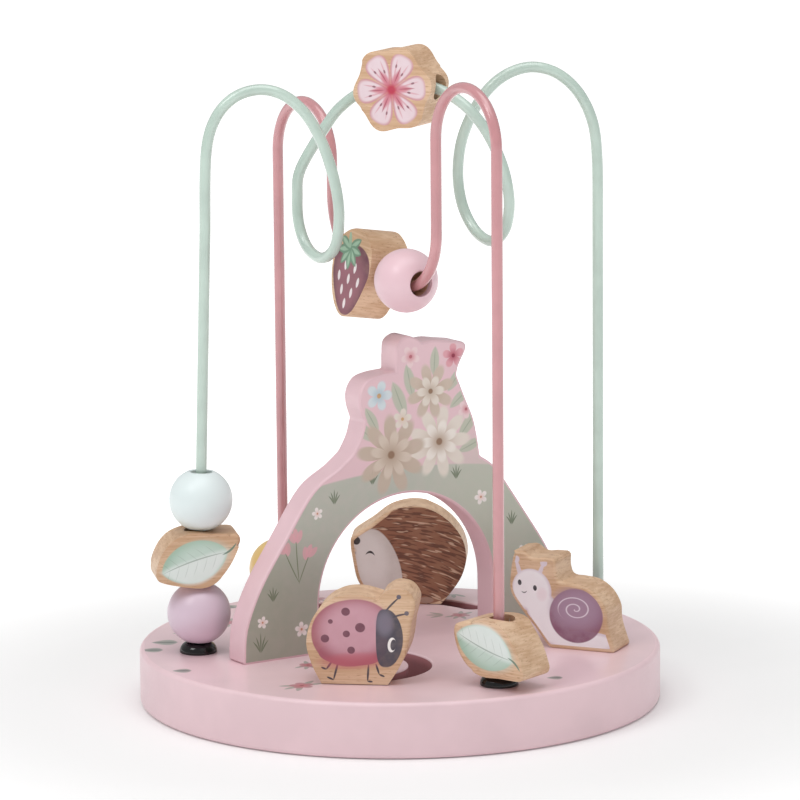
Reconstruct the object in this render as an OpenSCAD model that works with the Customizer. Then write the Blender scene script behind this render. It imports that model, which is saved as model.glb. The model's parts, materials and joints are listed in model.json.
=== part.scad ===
// Wooden bead maze for toddlers: a round base with an arch, two bent wires with beads,
// two figures that run in a curved track and one figure that stands still.
// X runs along the arch, the printed side of the arch faces -Y, and Z is up.
// The origin is the middle of the underside.

/* [Base] */
// Diameter of the round base
base_d = 210; // [200:1:240]
// Thickness of the base
base_t = 22; // [20:0.5:28]
// Rounding of the base's two outer edges
base_round = 1.8; // [0.5:0.1:3]
// Thickness of the cover let into the underside
cover_t = 4; // [3:0.5:5]
// Width of the rim left around the cover
rim_w = 12; // [9:0.5:14]

/* [Track] */
// Width of the slot that the pegs run in
slot_w = 9.4; // [7:0.1:10]
// Radius of the front bend, along the track's middle line
front_turn_r = 24.5; // [22:0.5:26]
// Radius of the back bend, along the track's middle line
back_turn_r = 45; // [43:0.5:46]
// Distance of the front bend's centre from the arch's middle, along the arch
bend_x = 39.5; // [37:0.5:40]
// Distance of the front bend's centre from the arch's middle, across the arch
bend_y = 31.5; // [31:0.5:35]
// Compass direction of the straight run between the bends
run_turn = 115; // [112:1:118]
// Length of the straight run
run_len = 29.5; // [26:0.5:32]
// Compass angle at which the front bend begins
front_end = 226; // [222:1:228]
// Compass angle at which the back bend ends
back_end = 8; // [2:1:10]

/* [Arch] */
// Thickness of the arch panel
arch_t = 12; // [10:0.5:16]
// Place of the arch's middle along X
arch_x = 4; // [0:0.5:8]
// Place of the arch's middle along Y
arch_y = 6.5; // [2:0.5:10]
// Half the length of the arch at its feet
arch_half = 77; // [74:0.5:80]
// Width of the opening under the arch
opening_w = 83; // [78:0.5:90]
// Height of the opening above the base
opening_h = 60.5; // [56:0.5:64]
// Height at which the hill's outline meets the crest
hill_h = 77; // [74:0.5:79]
// Diameter of the two dowels under the arch
dowel_d = 8; // [6:0.5:10]

/* [Wires] */
// Diameter of both wires
wire_d = 4.5; // [4:0.1:5]
// Straight height of the mint wire's two legs above the base
mint_leg_h = 170; // [165:1:175]
// Height of the two bows' springing on the pink wire, at the front
front_bow_h = 208; // [204:1:214]
// Height of the two bows' springing on the pink wire, at the back
back_bow_h = 192; // [188:1:200]
// Height of the pink wire's dip above the base
dip_h = 147.7; // [146:0.1:152]
// Bend radius at the front end of the dip
front_bend_r = 23; // [22:0.5:26]
// Bend radius at the back end of the dip
back_bend_r = 31; // [28:0.5:34]
// Radius of the mint wire's middle bow
bow_r = 42; // [41:0.5:43]
// Height of the middle bow's centre above the tops of the mint wire's legs
bow_rise = 15; // [13:0.5:17]

/* [Collars] */
// Diameter of a collar at the base
collar_d = 15; // [13:0.5:16]
// Diameter of a collar at its top
collar_top_d = 11; // [9:0.5:12]
// Height of a collar
collar_h = 4.3; // [3:0.1:6]

/* [Beads] */
// Diameter of the round beads
ball_d = 25.4; // [24:0.1:25.8]
// Height of a round bead between its two flats
ball_h = 23; // [21:0.1:23.4]
// Diameter of the bore in the flat beads and in the bead that rides a bend
bead_bore = 10; // [9.4:0.1:10.5]
// Diameter of the bore in the round beads on straight legs
leg_bore = 8.4; // [8:0.1:9.5]
// Thickness of the leaf beads
leaf_t = 18.5; // [16:0.5:21]
// Length of the leaf beads
leaf_w = 34; // [31:0.5:37]
// Height of the leaf beads along the wire
leaf_h = 22.4; // [20:0.2:24]
// Thickness of the flower bead
flower_t = 18; // [16:0.5:20]
// Mean diameter of the flower bead
flower_d = 32.8; // [32:0.2:34]
// Thickness of the strawberry bead
berry_t = 17.5; // [17:0.5:21]
// Width of the strawberry bead along the wire
berry_w = 28; // [26:0.5:28.5]
// Height of the strawberry bead
berry_h = 36; // [33:0.5:38]

/* [Figures] */
// Thickness of the ladybird, hedgehog and snail
figure_t = 18.5; // [16:0.5:20]
// Depth of each peg in its figure
peg_in = 10; // [8:0.5:14]
// Diameter of the keeper discs under the base
keeper_d = 15; // [13:0.5:18]
// Thickness of the keeper discs
keeper_t = 4; // [3:0.5:4.5]
// Diameter of the two dowels under the snail
snail_dowel_d = 6; // [5:0.5:7]

/* [Hidden] */
$fn = 96;

// Clearances
running_gap = 0.4;
peg_gap = 0.2;
bead_gap = 0.45;
bead_spacing = 0.5;
rest_gap = 0.3;
glue_gap = 0.05;
wire_gap = 0.1;
collar_gap = 0.3;
cover_gap = 0.2;
cut = 1;

// Heights in the base
cover_d = base_d - 2 * rim_w;
peg_d = slot_w - 2 * peg_gap;
channel_w = keeper_d + 2 * running_gap;
wire_floor = 2;
wire_bottom = cover_t + wire_floor;
stack_h = collar_h + rest_gap;

// Round numbers for the feet of the wires and the figures, in the base's own plane
mint_left = [-76, 31];
mint_right = [76, -31];
pink_front = [-8, -84];
pink_back = [-4, 84];
snail_at = [59, -49.5];
snail_turn = -56;
ladybird_turn = -40;
hedgehog_turn = -36;

// Lean of the mint wire's left leg, as a shift along X and Y for each unit of height
left_lean = [0.027, -0.016];
upright = [0, 0];

// Compass angles at which the figures stand on the track's two bends
ladybird_angle = 237;
hedgehog_angle = 45;

// Cover screws and keeper screws
screw_d = 3;
screw_head_d = 6;
screw_bite = 8;
screw_len = cover_t + screw_bite;
screw_head_h = 1.6;
keeper_screw_d = 3.5;
keeper_head_d = 7;
keeper_head_h = 2;
keeper_screw_len = 9;
screw_inset = 8;
screw_count = 4;
screw_angle = 15;

// Top of the wide channel, with room for a keeper and its screw's head over the cover
channel_top = cover_t + keeper_head_h + keeper_t + 3 * running_gap;
keeper_top = channel_top - running_gap;

// Depth of the dowels in the base and in what stands on it
dowel_floor = 4;
dowel_in_base = base_t - cover_t - dowel_floor;
dowel_in_arch = 18;
snail_dowel_in = 9;
snail_dowel_gap = 16;

// Sides and inset of the swept wires, and the steps of every smooth curve
wire_sides = 12;
sweep_inset = 0.03;
sweep_lap = 2;
wire_steps = 3;
outline_steps = 5;
arc_step = 12;
track_step = 4;

// Functions for smooth curves and arcs
function unit(v) = v / norm(v);

function between(a, b, c, d, t) =
    0.5 * (2 * b + (c - a) * t + (2 * a - 5 * b + 4 * c - d) * t * t
        + (3 * b - a - 3 * c + d) * t * t * t);

function curve(p, n) = [
    for (i = [0 : len(p) - 2], j = [0 : n - 1])
        between(p[max(i - 1, 0)], p[i], p[i + 1], p[min(i + 2, len(p) - 1)], j / n),
    p[len(p) - 1]
];

function closed_curve(p, n) = [
    for (i = [0 : len(p) - 1], j = [0 : n - 1])
        let (m = len(p))
        between(p[(i + m - 1) % m], p[i], p[(i + 1) % m], p[(i + 2) % m], j / n)
];

function arc(centre, r, from, to, step) =
    let (n = ceil(abs(to - from) / step))
    [for (i = [0 : n]) let (a = from + (to - from) * i / n) centre + r * [cos(a), sin(a)]];

function without_last(p) = [for (i = [0 : len(p) - 2]) p[i]];

function stretched(p, wide, high) = [for (q = p) [q.x * wide, q.y * high]];

// Frames carried along a path without twist, for sweeping a wire
function along(p, i) = unit(p[min(i + 1, len(p) - 1)] - p[max(i - 1, 0)]);

function carried(p, i, n) = i == len(p) ? [] :
    let (t = along(p, i), m = unit(n - (n * t) * t))
    concat([m], carried(p, i + 1, m));

// Tube of one radius along a path of points
module swept(p, r) {
    side = carried(p, 0, [0.31, 0.95, 0.05]);
    rings = [
        for (i = [0 : len(p) - 1], k = [0 : wire_sides - 1])
            let (a = 360 * k / wire_sides, t = along(p, i))
            p[i] + r * (cos(a) * side[i] + sin(a) * cross(t, side[i]))
    ];
    last = (len(p) - 1) * wire_sides;
    walls = [
        for (i = [0 : len(p) - 2], k = [0 : wire_sides - 1])
            let (a = i * wire_sides, b = (k + 1) % wire_sides)
            [a + k, a + wire_sides + k, a + wire_sides + b, a + b]
    ];
    caps = [
        [for (k = [0 : wire_sides - 1]) k],
        [for (k = [wire_sides - 1 : -1 : 0]) last + k]
    ];
    polyhedron(rings, concat(walls, caps), convexity = 10);
}

// Point on a leg at a height above the base
function on_leg(foot, lean, h) = [foot.x + lean.x * h, foot.y + lean.y * h, base_t + h];

// Moves children so that Z runs up a leg from the top of the base
module up_leg(foot, lean) {
    tip = atan(norm(lean));
    translate([foot.x, foot.y, base_t])
        rotate([0, 0, atan2(lean.y, lean.x)])
            rotate([0, tip, 0])
                rotate([0, 0, -atan2(lean.y, lean.x)])
                    children();
}

// Straight leg from its seat in the base to a height above the base
module leg(foot, lean, h, r) {
    up_leg(foot, lean)
        translate([0, 0, wire_bottom - base_t])
            cylinder(r = r, h = h + base_t - wire_bottom);
}

// The track: a front bend, a straight run through the arch and a back bend the other way
arch_mid = [arch_x, arch_y];
run_dir = [cos(run_turn), sin(run_turn)];
run_side = [sin(run_turn), -cos(run_turn)];
front_bend = arch_mid - [bend_x, bend_y];
back_bend = front_bend + (front_turn_r + back_turn_r) * run_side + run_len * run_dir;

// Compass angles at which the front bend leaves for the run and the back bend takes it up
leave = run_turn + 270;
join = run_turn + 90;
end_step = 16;

function on_bend(centre, r, a) = centre + r * [cos(a), sin(a)];

// Half turn around the end of a slot
function slot_end(centre, r, a, from, half) =
    arc(on_bend(centre, r, a), half, from, from + 180, end_step);

// Outline of the track at half its width, with round ends
function track_outline(half) = concat(
    arc(front_bend, front_turn_r + half, front_end, leave, track_step),
    arc(back_bend, back_turn_r - half, join, back_end, track_step),
    slot_end(back_bend, back_turn_r, back_end, back_end + 180, half),
    arc(back_bend, back_turn_r + half, back_end, join, track_step),
    arc(front_bend, front_turn_r - half, leave, front_end, track_step),
    slot_end(front_bend, front_turn_r, front_end, front_end - 180, half)
);

ladybird_at = on_bend(front_bend, front_turn_r, ladybird_angle);
hedgehog_at = on_bend(back_bend, back_turn_r, hedgehog_angle);

// Outline of the arch above the base: two hill sides and a crest with three lobes
opening_r = opening_w / 2;
opening_centre = opening_h - opening_r;

hill_left = [
    [-arch_half, 0], [-arch_half + 1.2, 14], [-arch_half + 8, 30], [-arch_half + 20, 48],
    [-arch_half + 33, 66], [-arch_half + 45.5, hill_h - 3], [-25, hill_h + 2]
];
lobe_low = [[-25, hill_h + 2], [-21.5, hill_h + 8], [-19.4, hill_h + 15]];
lobe_round = [
    [-19.4, hill_h + 15], [-21.4, hill_h + 21], [-21.2, hill_h + 26.5], [-18, hill_h + 31.2],
    [-12, hill_h + 33], [-4.4, hill_h + 33.5]
];
crest_left = [
    [-4.4, hill_h + 33.5], [-4.2, hill_h + 40], [-3.4, hill_h + 45], [0.8, hill_h + 47.4],
    [5, hill_h + 46.4], [8.2, hill_h + 44.3]
];
crest_right = [
    [8.2, hill_h + 44.3], [14, hill_h + 44.8], [21, hill_h + 43.8], [27.8, hill_h + 42.6],
    [29.3, hill_h + 39.6], [26, hill_h + 33.5], [24.8, hill_h + 29.5]
];
neck = [
    [24.8, hill_h + 29.5], [28.8, hill_h + 20], [32.6, hill_h + 11.5], [34.6, hill_h + 3.5],
    [36, hill_h - 5]
];
hill_right = [
    [36, hill_h - 5], [arch_half - 33, 66], [arch_half - 20, 48], [arch_half - 8, 30],
    [arch_half - 1.2, 14], [arch_half, 0]
];

arch_outline = concat(
    without_last(curve(hill_left, outline_steps)),
    without_last(curve(lobe_low, outline_steps)),
    without_last(curve(lobe_round, outline_steps)),
    without_last(curve(crest_left, outline_steps)),
    without_last(curve(crest_right, outline_steps)),
    without_last(curve(neck, outline_steps)),
    curve(hill_right, outline_steps)
);
arch_foot = (arch_half + opening_r) / 2;

// Outlines of the figures: X across the face from the peg, Y up from the base
ladybird_outline = concat(
    curve([[-12.7, 0], [-16.2, 7], [-18.5, 15.5], [-16.8, 24], [-12.3, 30.8], [-5.5, 34.8],
        [2, 35.5], [9.8, 33.6]], outline_steps),
    curve([[11.2, 35.8], [15.4, 38.2], [20.8, 37.4], [24.1, 33.2], [23.7, 28.4], [22.5, 23.5],
        [21.8, 18], [20.4, 12.5], [17.2, 6], [13.3, 0]], outline_steps)
);
hedgehog_outline = concat(
    curve([[-12.5, 0], [-19, 4.5], [-22.8, 10], [-24.6, 18], [-25.6, 25.5], [-24.4, 28.8],
        [-17, 33.8], [-9.2, 39.4], [0, 41.6], [8.5, 40], [16, 35], [21.2, 28], [22.9, 20],
        [21.2, 12.5], [17.2, 6], [12.2, 0]], outline_steps)
);
snail_outline = concat(
    curve([[-14.3, 0], [-20.5, 8], [-26.5, 15], [-30.9, 22], [-30.8, 30], [-29.6, 37]],
        outline_steps),
    curve([[-28.6, 38.4], [-25.2, 38.5], [-21, 36.2], [-15.8, 36.6], [-11.6, 35.8],
        [-11.2, 31], [-9.6, 27.4], [-4.3, 26.9], [1.5, 26], [7, 22.3], [10.4, 16.5],
        [11, 10], [14.3, 0]], outline_steps)
);

// Outlines of the flat beads, centred on the wire
leaf_half_w = leaf_w / 2;
leaf_half_h = leaf_h / 2;
leaf_outline = stretched(closed_curve([
    [-1, -0.56], [-0.9, -0.76], [-0.5, -0.91], [0.05, -1], [0.38, -0.84], [0.6, -0.48],
    [0.8, 0], [0.95, 0.56], [0.97, 0.78], [0.88, 0.95], [0.6, 0.97], [0.27, 0.97],
    [-0.1, 1], [-0.36, 0.92], [-0.6, 0.75], [-0.78, 0.48], [-0.91, 0.14], [-0.99, -0.24]
], outline_steps), leaf_half_w, leaf_half_h);

petals = 6;
petal_turn = 6;
petal_bulge = 1;
flower_step = 3;
flower_outline = [
    for (a = [0 : flower_step : 360 - flower_step])
        (flower_d / 2 + petal_bulge * cos(petals * (a - petal_turn))) * [cos(a), sin(a)]
];

berry_outline = stretched(closed_curve([
    [0, -1], [0.34, -0.9], [0.62, -0.6], [0.84, -0.25], [1, 0.1], [1, 0.45], [0.86, 0.72],
    [0.5, 0.92], [0.12, 1], [-0.4, 0.93], [-0.82, 0.72], [-1, 0.42], [-1, 0.05],
    [-0.88, -0.35], [-0.64, -0.7], [-0.32, -0.93]
], outline_steps), berry_w / 2, berry_h / 2);

// Route of the mint wire between its two legs: points chosen by hand, Z above the legs' tops
mint_left_loop = [
    [-70.7, 27.8, 30], [-67.4, 26, 44], [-60.8, 22.3, 52.5], [-52, 17.5, 55.5],
    [-43.4, 12.9, 53], [-36, 9, 45.5], [-30.6, 5.6, 34], [-27.6, 2, 20], [-26.4, 0.4, 7],
    [-26, 3.2, -5.5], [-26, 9.5, -11.5], [-26, 17.5, -13], [-26, 26, -9.5], [-26, 31.6, -1.5],
    [-25.8, 33, 9], [-24.6, 32, 21]
];
mint_right_loop = [
    [23.5, -32.8, 35.5], [27.6, -35.6, 23.5], [29.8, -36.2, 11], [30.5, -33, 0.5],
    [30.5, -27, -5.2], [30.5, -19.5, -6.7], [30, -10.5, -3], [29, -3.8, 6], [28.5, -1.5, 18],
    [29.2, -3, 31], [31.8, -7.4, 43], [37.2, -11.6, 53], [44.5, -15.6, 59], [53, -19.8, 61],
    [61.8, -24.2, 58], [69.3, -27.9, 50], [74.2, -30.3, 38], [75.8, -31, 23]
];

// The middle bow is a true arc in an upright plane, so that the flower bead can ride on it
bow_centre = [2.5, -4];
bow_turn = -57;
bow_from = -54;
bow_to = 44;
bow_step = 14;
flower_angle = -3;
bow_dir = [cos(bow_turn), sin(bow_turn)];

function on_bow(a, r) = [
    bow_centre.x + r * sin(a) * bow_dir.x,
    bow_centre.y + r * sin(a) * bow_dir.y,
    bow_rise + r * cos(a)
];

function raised(q) = q + [0, 0, base_t + mint_leg_h];

mint_loops = concat(
    mint_left_loop,
    [for (a = [bow_from : bow_step : bow_to]) on_bow(a, bow_r)],
    mint_right_loop
);

mint_route = concat(
    [on_leg(mint_left, left_lean, mint_leg_h - sweep_lap)],
    curve(concat(
        [on_leg(mint_left, left_lean, mint_leg_h)],
        [for (q = mint_loops) raised(q)],
        [on_leg(mint_right, upright, mint_leg_h)]
    ), wire_steps),
    [on_leg(mint_right, upright, mint_leg_h - sweep_lap)]
);

// The pink wire lies in one upright plane: distance along it and height above the base
pink_span = norm(pink_back - pink_front);
pink_dir = unit(pink_back - pink_front);
dip_run = ball_h / 2 + berry_w / 2 + bead_spacing;
strand_gap = (pink_span - front_bend_r - back_bend_r - dip_run) / 2;
bow_half = strand_gap / 2;
front_corner = [strand_gap + front_bend_r, dip_h + front_bend_r];
back_corner = [pink_span - strand_gap - back_bend_r, dip_h + back_bend_r];
pink_leg_h = 180;

function on_pink(q) = [
    pink_front.x + q.x * pink_dir.x,
    pink_front.y + q.x * pink_dir.y,
    base_t + q.y
];

pink_route = [for (q = concat(
    [[0, pink_leg_h - sweep_lap]],
    arc([bow_half, front_bow_h], bow_half, 180, 0, arc_step),
    arc(front_corner, front_bend_r, 180, 270, arc_step),
    arc(back_corner, back_bend_r, 270, 360, arc_step),
    arc([pink_span - bow_half, back_bow_h], bow_half, 180, 0, arc_step),
    [[pink_span, pink_leg_h - sweep_lap]]
)) on_pink(q)];

// Height of each bead's middle in the stack on the mint wire's left leg
purple_h = stack_h + ball_h / 2;
left_leaf_h = purple_h + ball_h / 2 + rest_gap + leaf_half_h;
white_h = left_leaf_h + leaf_half_h + rest_gap + ball_h / 2;

// How far each bored bead lies above or below the wire, so that its bore clears the bend
bore_play = (bead_bore - wire_d) / 2 - bead_gap;
ball_rise = bore_play;
flower_drop = bore_play;
berry_slope = asin(berry_w / 2 / back_bend_r);
berry_sag = back_bend_r * (1 - cos(berry_slope)) + wire_d / 2 / cos(berry_slope);
berry_rise = berry_sag - bead_bore / 2 + bead_gap;

// Loose turns and shifts of the beads on their wires
left_leaf_turn = -22;
left_leaf_shift = -1.6;
front_leaf_turn = -70;
front_leaf_shift = 1.6;
yellow_shift = [-1.3, 0.8];
berry_roll = -9;

// Angle up the dip's back bend at which the strawberry bead rests
berry_swing = 6;

// Round bar for a hole, long enough to cut both ends free
module drill(d, from, to) {
    translate([0, 0, from])
        cylinder(d = d, h = to - from);
}

// Places children at each cover screw
module at_screws() {
    for (i = [0 : screw_count - 1])
        rotate([0, 0, screw_angle + i * 360 / screw_count])
            translate([cover_d / 2 - screw_inset, 0, 0])
                children();
}

// Countersunk screw pointing up, its head flush with zero height
module countersunk(d, head_d, head_h, len) {
    rotate_extrude()
        polygon([[0, 0], [head_d / 2, 0], [d / 2, head_h], [d / 2, len], [0, len]]);
}

// Places children at both arch dowels
module at_arch_dowels() {
    for (side = [-1, 1])
        translate([arch_x + side * arch_foot, arch_y, base_t])
            children();
}

// Places children at both snail dowels
module at_snail_dowels() {
    translate([snail_at.x, snail_at.y, base_t])
        rotate([0, 0, snail_turn])
            for (side = [-1, 1])
                translate([side * snail_dowel_gap / 2, 0, 0])
                    children();
}

// Hole for a wire's end
module wire_hole(foot, lean) {
    up_leg(foot, lean)
        drill(wire_d + 2 * wire_gap, wire_bottom - base_t, cut);
}

module base_disc() {
    r = base_d / 2;
    color("#dcb9bd")
        difference() {
            rotate_extrude() {
                translate([0, base_round])
                    square([r, base_t - 2 * base_round]);
                square([r - base_round, base_t]);
                for (h = [base_round, base_t - base_round])
                    translate([r - base_round, h])
                        circle(base_round);
            }
            drill(cover_d, -cut, cover_t);
            translate([0, 0, cover_t - cut])
                linear_extrude(channel_top - cover_t + cut)
                    polygon(track_outline(channel_w / 2));
            translate([0, 0, channel_top - cut])
                linear_extrude(base_t - channel_top + 2 * cut)
                    polygon(track_outline(slot_w / 2));
            wire_hole(mint_left, left_lean);
            wire_hole(mint_right, upright);
            wire_hole(pink_front, upright);
            wire_hole(pink_back, upright);
            at_arch_dowels()
                drill(dowel_d + 2 * glue_gap, -dowel_in_base, cut);
            at_snail_dowels()
                drill(snail_dowel_d + 2 * glue_gap, -snail_dowel_in, cut);
            at_screws()
                drill(screw_d + 2 * glue_gap, 0, screw_len + cut);
        }
}

module bottom_cover() {
    color("#d8b48c")
        difference() {
            drill(cover_d - 2 * cover_gap, 0, cover_t);
            at_screws()
                rotate_extrude()
                    polygon([
                        [0, -cut], [screw_head_d / 2 + glue_gap, -cut],
                        [screw_head_d / 2 + glue_gap, 0], [screw_d / 2 + glue_gap, screw_head_h],
                        [screw_d / 2 + glue_gap, cover_t + cut], [0, cover_t + cut]
                    ]);
        }
}

module cover_screws() {
    color("#9a9a98")
        at_screws()
            countersunk(screw_d, screw_head_d, screw_head_h, screw_len);
}

module arch_panel() {
    color("#d9b8bc")
        difference() {
            translate([arch_x, arch_y + arch_t / 2, base_t])
                rotate([90, 0, 0])
                    linear_extrude(arch_t)
                        difference() {
                            polygon(arch_outline);
                            translate([0, opening_centre])
                                circle(opening_r);
                            translate([-opening_r, -cut])
                                square([opening_w, opening_centre + cut]);
                        }
            at_arch_dowels()
                drill(dowel_d + 2 * glue_gap, -cut, dowel_in_arch);
        }
}

module arch_dowels() {
    color("#d8b48c")
        at_arch_dowels()
            drill(dowel_d, -dowel_in_base + glue_gap, dowel_in_arch - glue_gap);
}

module mint_wire() {
    color("#c3d4ca")
        union() {
            leg(mint_left, left_lean, mint_leg_h, wire_d / 2);
            leg(mint_right, upright, mint_leg_h, wire_d / 2);
            swept(mint_route, wire_d / 2 - sweep_inset);
        }
}

module pink_wire() {
    color("#cb9698")
        union() {
            leg(pink_front, upright, pink_leg_h, wire_d / 2);
            leg(pink_back, upright, pink_leg_h, wire_d / 2);
            swept(pink_route, wire_d / 2 - sweep_inset);
        }
}

// Domed collar around a wire's foot
module collar(foot) {
    shoulder = (collar_d - collar_top_d) / 2;
    hole = wire_d / 2 + collar_gap;
    color("#191718")
        translate([foot.x, foot.y, base_t])
            rotate_extrude()
                difference() {
                    union() {
                        square([collar_top_d / 2, collar_h]);
                        square([collar_d / 2, collar_h - shoulder]);
                        translate([collar_top_d / 2, collar_h - shoulder])
                            circle(shoulder);
                    }
                    translate([-cut, -cut])
                        square([hole + cut, collar_h + 2 * cut]);
                    translate([0, -collar_h])
                        square([collar_d, collar_h]);
                }
}

module collar_mint_left() collar(mint_left);
module collar_mint_right() collar(mint_right);
module collar_pink_front() collar(pink_front);
module collar_pink_back() collar(pink_back);

// Round bead with two flats, bored along Z
module ball(bore) {
    difference() {
        intersection() {
            sphere(d = ball_d);
            translate([0, 0, -ball_h / 2])
                cylinder(d = ball_d + cut, h = ball_h);
        }
        drill(bore, -ball_d, ball_d);
    }
}

// Flat bead with an outline in the XZ plane, facing -Y
module slab(outline, t) {
    rotate([90, 0, 0])
        translate([0, 0, -t / 2])
            linear_extrude(t)
                polygon(outline);
}

// Leaf bead, bored along Z
module leaf() {
    difference() {
        slab(leaf_outline, leaf_t);
        drill(bead_bore, -leaf_h, leaf_h);
    }
}

module white_ball() {
    color("#e6eeee")
        up_leg(mint_left, left_lean)
            translate([0, 0, white_h])
                ball(leg_bore);
}

module leaf_bead_left() {
    color("#d9b692")
        up_leg(mint_left, left_lean)
            translate([0, 0, left_leaf_h])
                rotate([0, 0, left_leaf_turn])
                    translate([left_leaf_shift, 0, 0])
                        leaf();
}

module purple_ball() {
    color("#d0bccb")
        up_leg(mint_left, left_lean)
            translate([0, 0, purple_h])
                ball(leg_bore);
}

module yellow_ball() {
    color("#dcbd80")
        up_leg(pink_back, upright)
            translate([yellow_shift.x, yellow_shift.y, stack_h + ball_h / 2])
                ball(leg_bore);
}

module leaf_bead_front() {
    color("#d9b692")
        up_leg(pink_front, upright)
            translate([0, 0, stack_h + leaf_half_h])
                rotate([0, 0, front_leaf_turn])
                    translate([front_leaf_shift, 0, 0])
                        rotate([180, 0, 0])
                            leaf();
}

module flower_bead() {
    centre = on_bow(flower_angle, bow_r - flower_drop);
    color("#dcb994")
        translate(raised(centre))
            rotate([0, 0, bow_turn])
                rotate([0, flower_angle, 0])
                    difference() {
                        slab(flower_outline, flower_t);
                        rotate([0, 90, 0])
                            drill(bead_bore, -flower_d, flower_d);
                    }
}

module strawberry_bead() {
    color("#dcb994")
        translate(on_pink(back_corner))
            rotate([0, 0, atan2(-pink_dir.y, -pink_dir.x)])
                rotate([0, berry_swing, 0])
                    translate([0, 0, berry_rise - back_bend_r])
                        rotate([berry_roll, 0, 0])
                            difference() {
                                slab(berry_outline, berry_t);
                                rotate([0, 90, 0])
                                    drill(bead_bore, -berry_w, berry_w);
                            }
}

module pink_ball() {
    color("#e8cdd2")
        translate(on_pink([front_corner.x, dip_h + ball_rise]))
            rotate([0, 0, atan2(pink_dir.y, pink_dir.x)])
                rotate([0, 90, 0])
                    ball(bead_bore);
}

// Figure cut from a board, standing on the base with a bore for its peg
module standing(outline, at, turn) {
    translate([at.x, at.y, base_t + rest_gap])
        rotate([0, 0, turn])
            difference() {
                slab(outline, figure_t);
                drill(peg_d + 2 * glue_gap, -cut, peg_in);
            }
}

// Peg through the slot, from the keeper up into the figure
module peg(at) {
    translate([at.x, at.y, 0])
        difference() {
            drill(peg_d, keeper_top, base_t + rest_gap + peg_in - glue_gap);
            drill(keeper_screw_d + 2 * glue_gap, 0, keeper_top + keeper_screw_len);
        }
}

// Disc under the slot that keeps the figure from lifting out
module keeper(at) {
    translate([at.x, at.y, 0])
        difference() {
            drill(keeper_d, keeper_top - keeper_t, keeper_top);
            drill(keeper_screw_d + 2 * glue_gap, 0, base_t);
        }
}

// Pan-head screw that holds a keeper to its peg
module keeper_screw(at) {
    seat = keeper_top - keeper_t;
    translate([at.x, at.y, 0])
        union() {
            drill(keeper_head_d, seat - keeper_head_h, seat);
            drill(keeper_screw_d, seat - keeper_head_h, seat + keeper_screw_len);
        }
}

module ladybird_figure() color("#d9b692") standing(ladybird_outline, ladybird_at, ladybird_turn);
module ladybird_peg() color("#c9a47c") peg(ladybird_at);
module ladybird_keeper() color("#b98f68") keeper(ladybird_at);
module ladybird_screw() color("#9a9a98") keeper_screw(ladybird_at);
module hedgehog_figure() color("#d9b692") standing(hedgehog_outline, hedgehog_at, hedgehog_turn);
module hedgehog_peg() color("#c9a47c") peg(hedgehog_at);
module hedgehog_keeper() color("#b98f68") keeper(hedgehog_at);
module hedgehog_screw() color("#9a9a98") keeper_screw(hedgehog_at);

module snail_figure() {
    color("#d9b692")
        difference() {
            translate([snail_at.x, snail_at.y, base_t])
                rotate([0, 0, snail_turn])
                    slab(snail_outline, figure_t);
            at_snail_dowels()
                drill(snail_dowel_d + 2 * glue_gap, -cut, snail_dowel_in);
        }
}

module snail_dowels() {
    color("#c9a47c")
        at_snail_dowels()
            drill(snail_dowel_d, -snail_dowel_in + glue_gap, snail_dowel_in - glue_gap);
}

base_disc();
bottom_cover();
cover_screws();
arch_panel();
arch_dowels();
mint_wire();
pink_wire();
collar_mint_left();
collar_mint_right();
collar_pink_front();
collar_pink_back();
white_ball();
leaf_bead_left();
purple_ball();
yellow_ball();
leaf_bead_front();
flower_bead();
strawberry_bead();
pink_ball();
ladybird_figure();
ladybird_peg();
ladybird_keeper();
ladybird_screw();
hedgehog_figure();
hedgehog_peg();
hedgehog_keeper();
hedgehog_screw();
snail_figure();
snail_dowels();
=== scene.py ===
"""Looks of a wooden bead maze: turned, sawn, painted and printed pieces built around its CAD frame."""

import json
import math

import bpy
from bpy.props import FloatProperty, FloatVectorProperty, PointerProperty
from mathutils import Matrix, Vector


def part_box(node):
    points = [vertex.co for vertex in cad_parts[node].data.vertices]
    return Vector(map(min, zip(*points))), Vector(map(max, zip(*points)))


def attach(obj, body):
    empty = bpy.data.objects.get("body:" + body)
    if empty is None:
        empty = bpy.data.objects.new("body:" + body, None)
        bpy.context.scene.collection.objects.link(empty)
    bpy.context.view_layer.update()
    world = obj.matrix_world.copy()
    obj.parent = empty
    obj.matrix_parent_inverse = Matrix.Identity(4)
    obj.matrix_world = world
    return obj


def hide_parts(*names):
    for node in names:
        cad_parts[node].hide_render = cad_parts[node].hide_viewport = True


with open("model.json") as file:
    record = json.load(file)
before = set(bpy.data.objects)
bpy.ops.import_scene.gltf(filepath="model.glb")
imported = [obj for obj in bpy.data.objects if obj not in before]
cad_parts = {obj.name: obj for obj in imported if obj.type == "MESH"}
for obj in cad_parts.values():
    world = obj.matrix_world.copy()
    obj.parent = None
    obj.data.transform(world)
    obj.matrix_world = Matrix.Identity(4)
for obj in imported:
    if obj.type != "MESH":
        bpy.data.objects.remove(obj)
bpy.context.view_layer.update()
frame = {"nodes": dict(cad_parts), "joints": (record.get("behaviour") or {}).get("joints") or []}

bl_info = {
    "name": "Bead Maze",
    "version": (1, 0, 0),
    "blender": (4, 5, 0),
    "location": "View3D > Sidebar > Bead Maze",
    "description": "Builds a wooden bead maze with its wires, beads, figures and prints",
    "category": "Object",
}

MM = 0.001
UP = Vector((0, 0, 1))
# The sharpest edge that is smoothed, and the cosine past which a face counts as level
SMOOTH_ANGLE, LEVEL = math.radians(38), 0.999
# How near a point lies to a face that it is on, and how near two points are that merge
HAIR, MERGE = 0.02 * MM, 0.002 * MM


# Places read from the frame


def joint(name):
    """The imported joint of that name."""
    return next(j for j in frame["joints"] if j["name"] == name)


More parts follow.
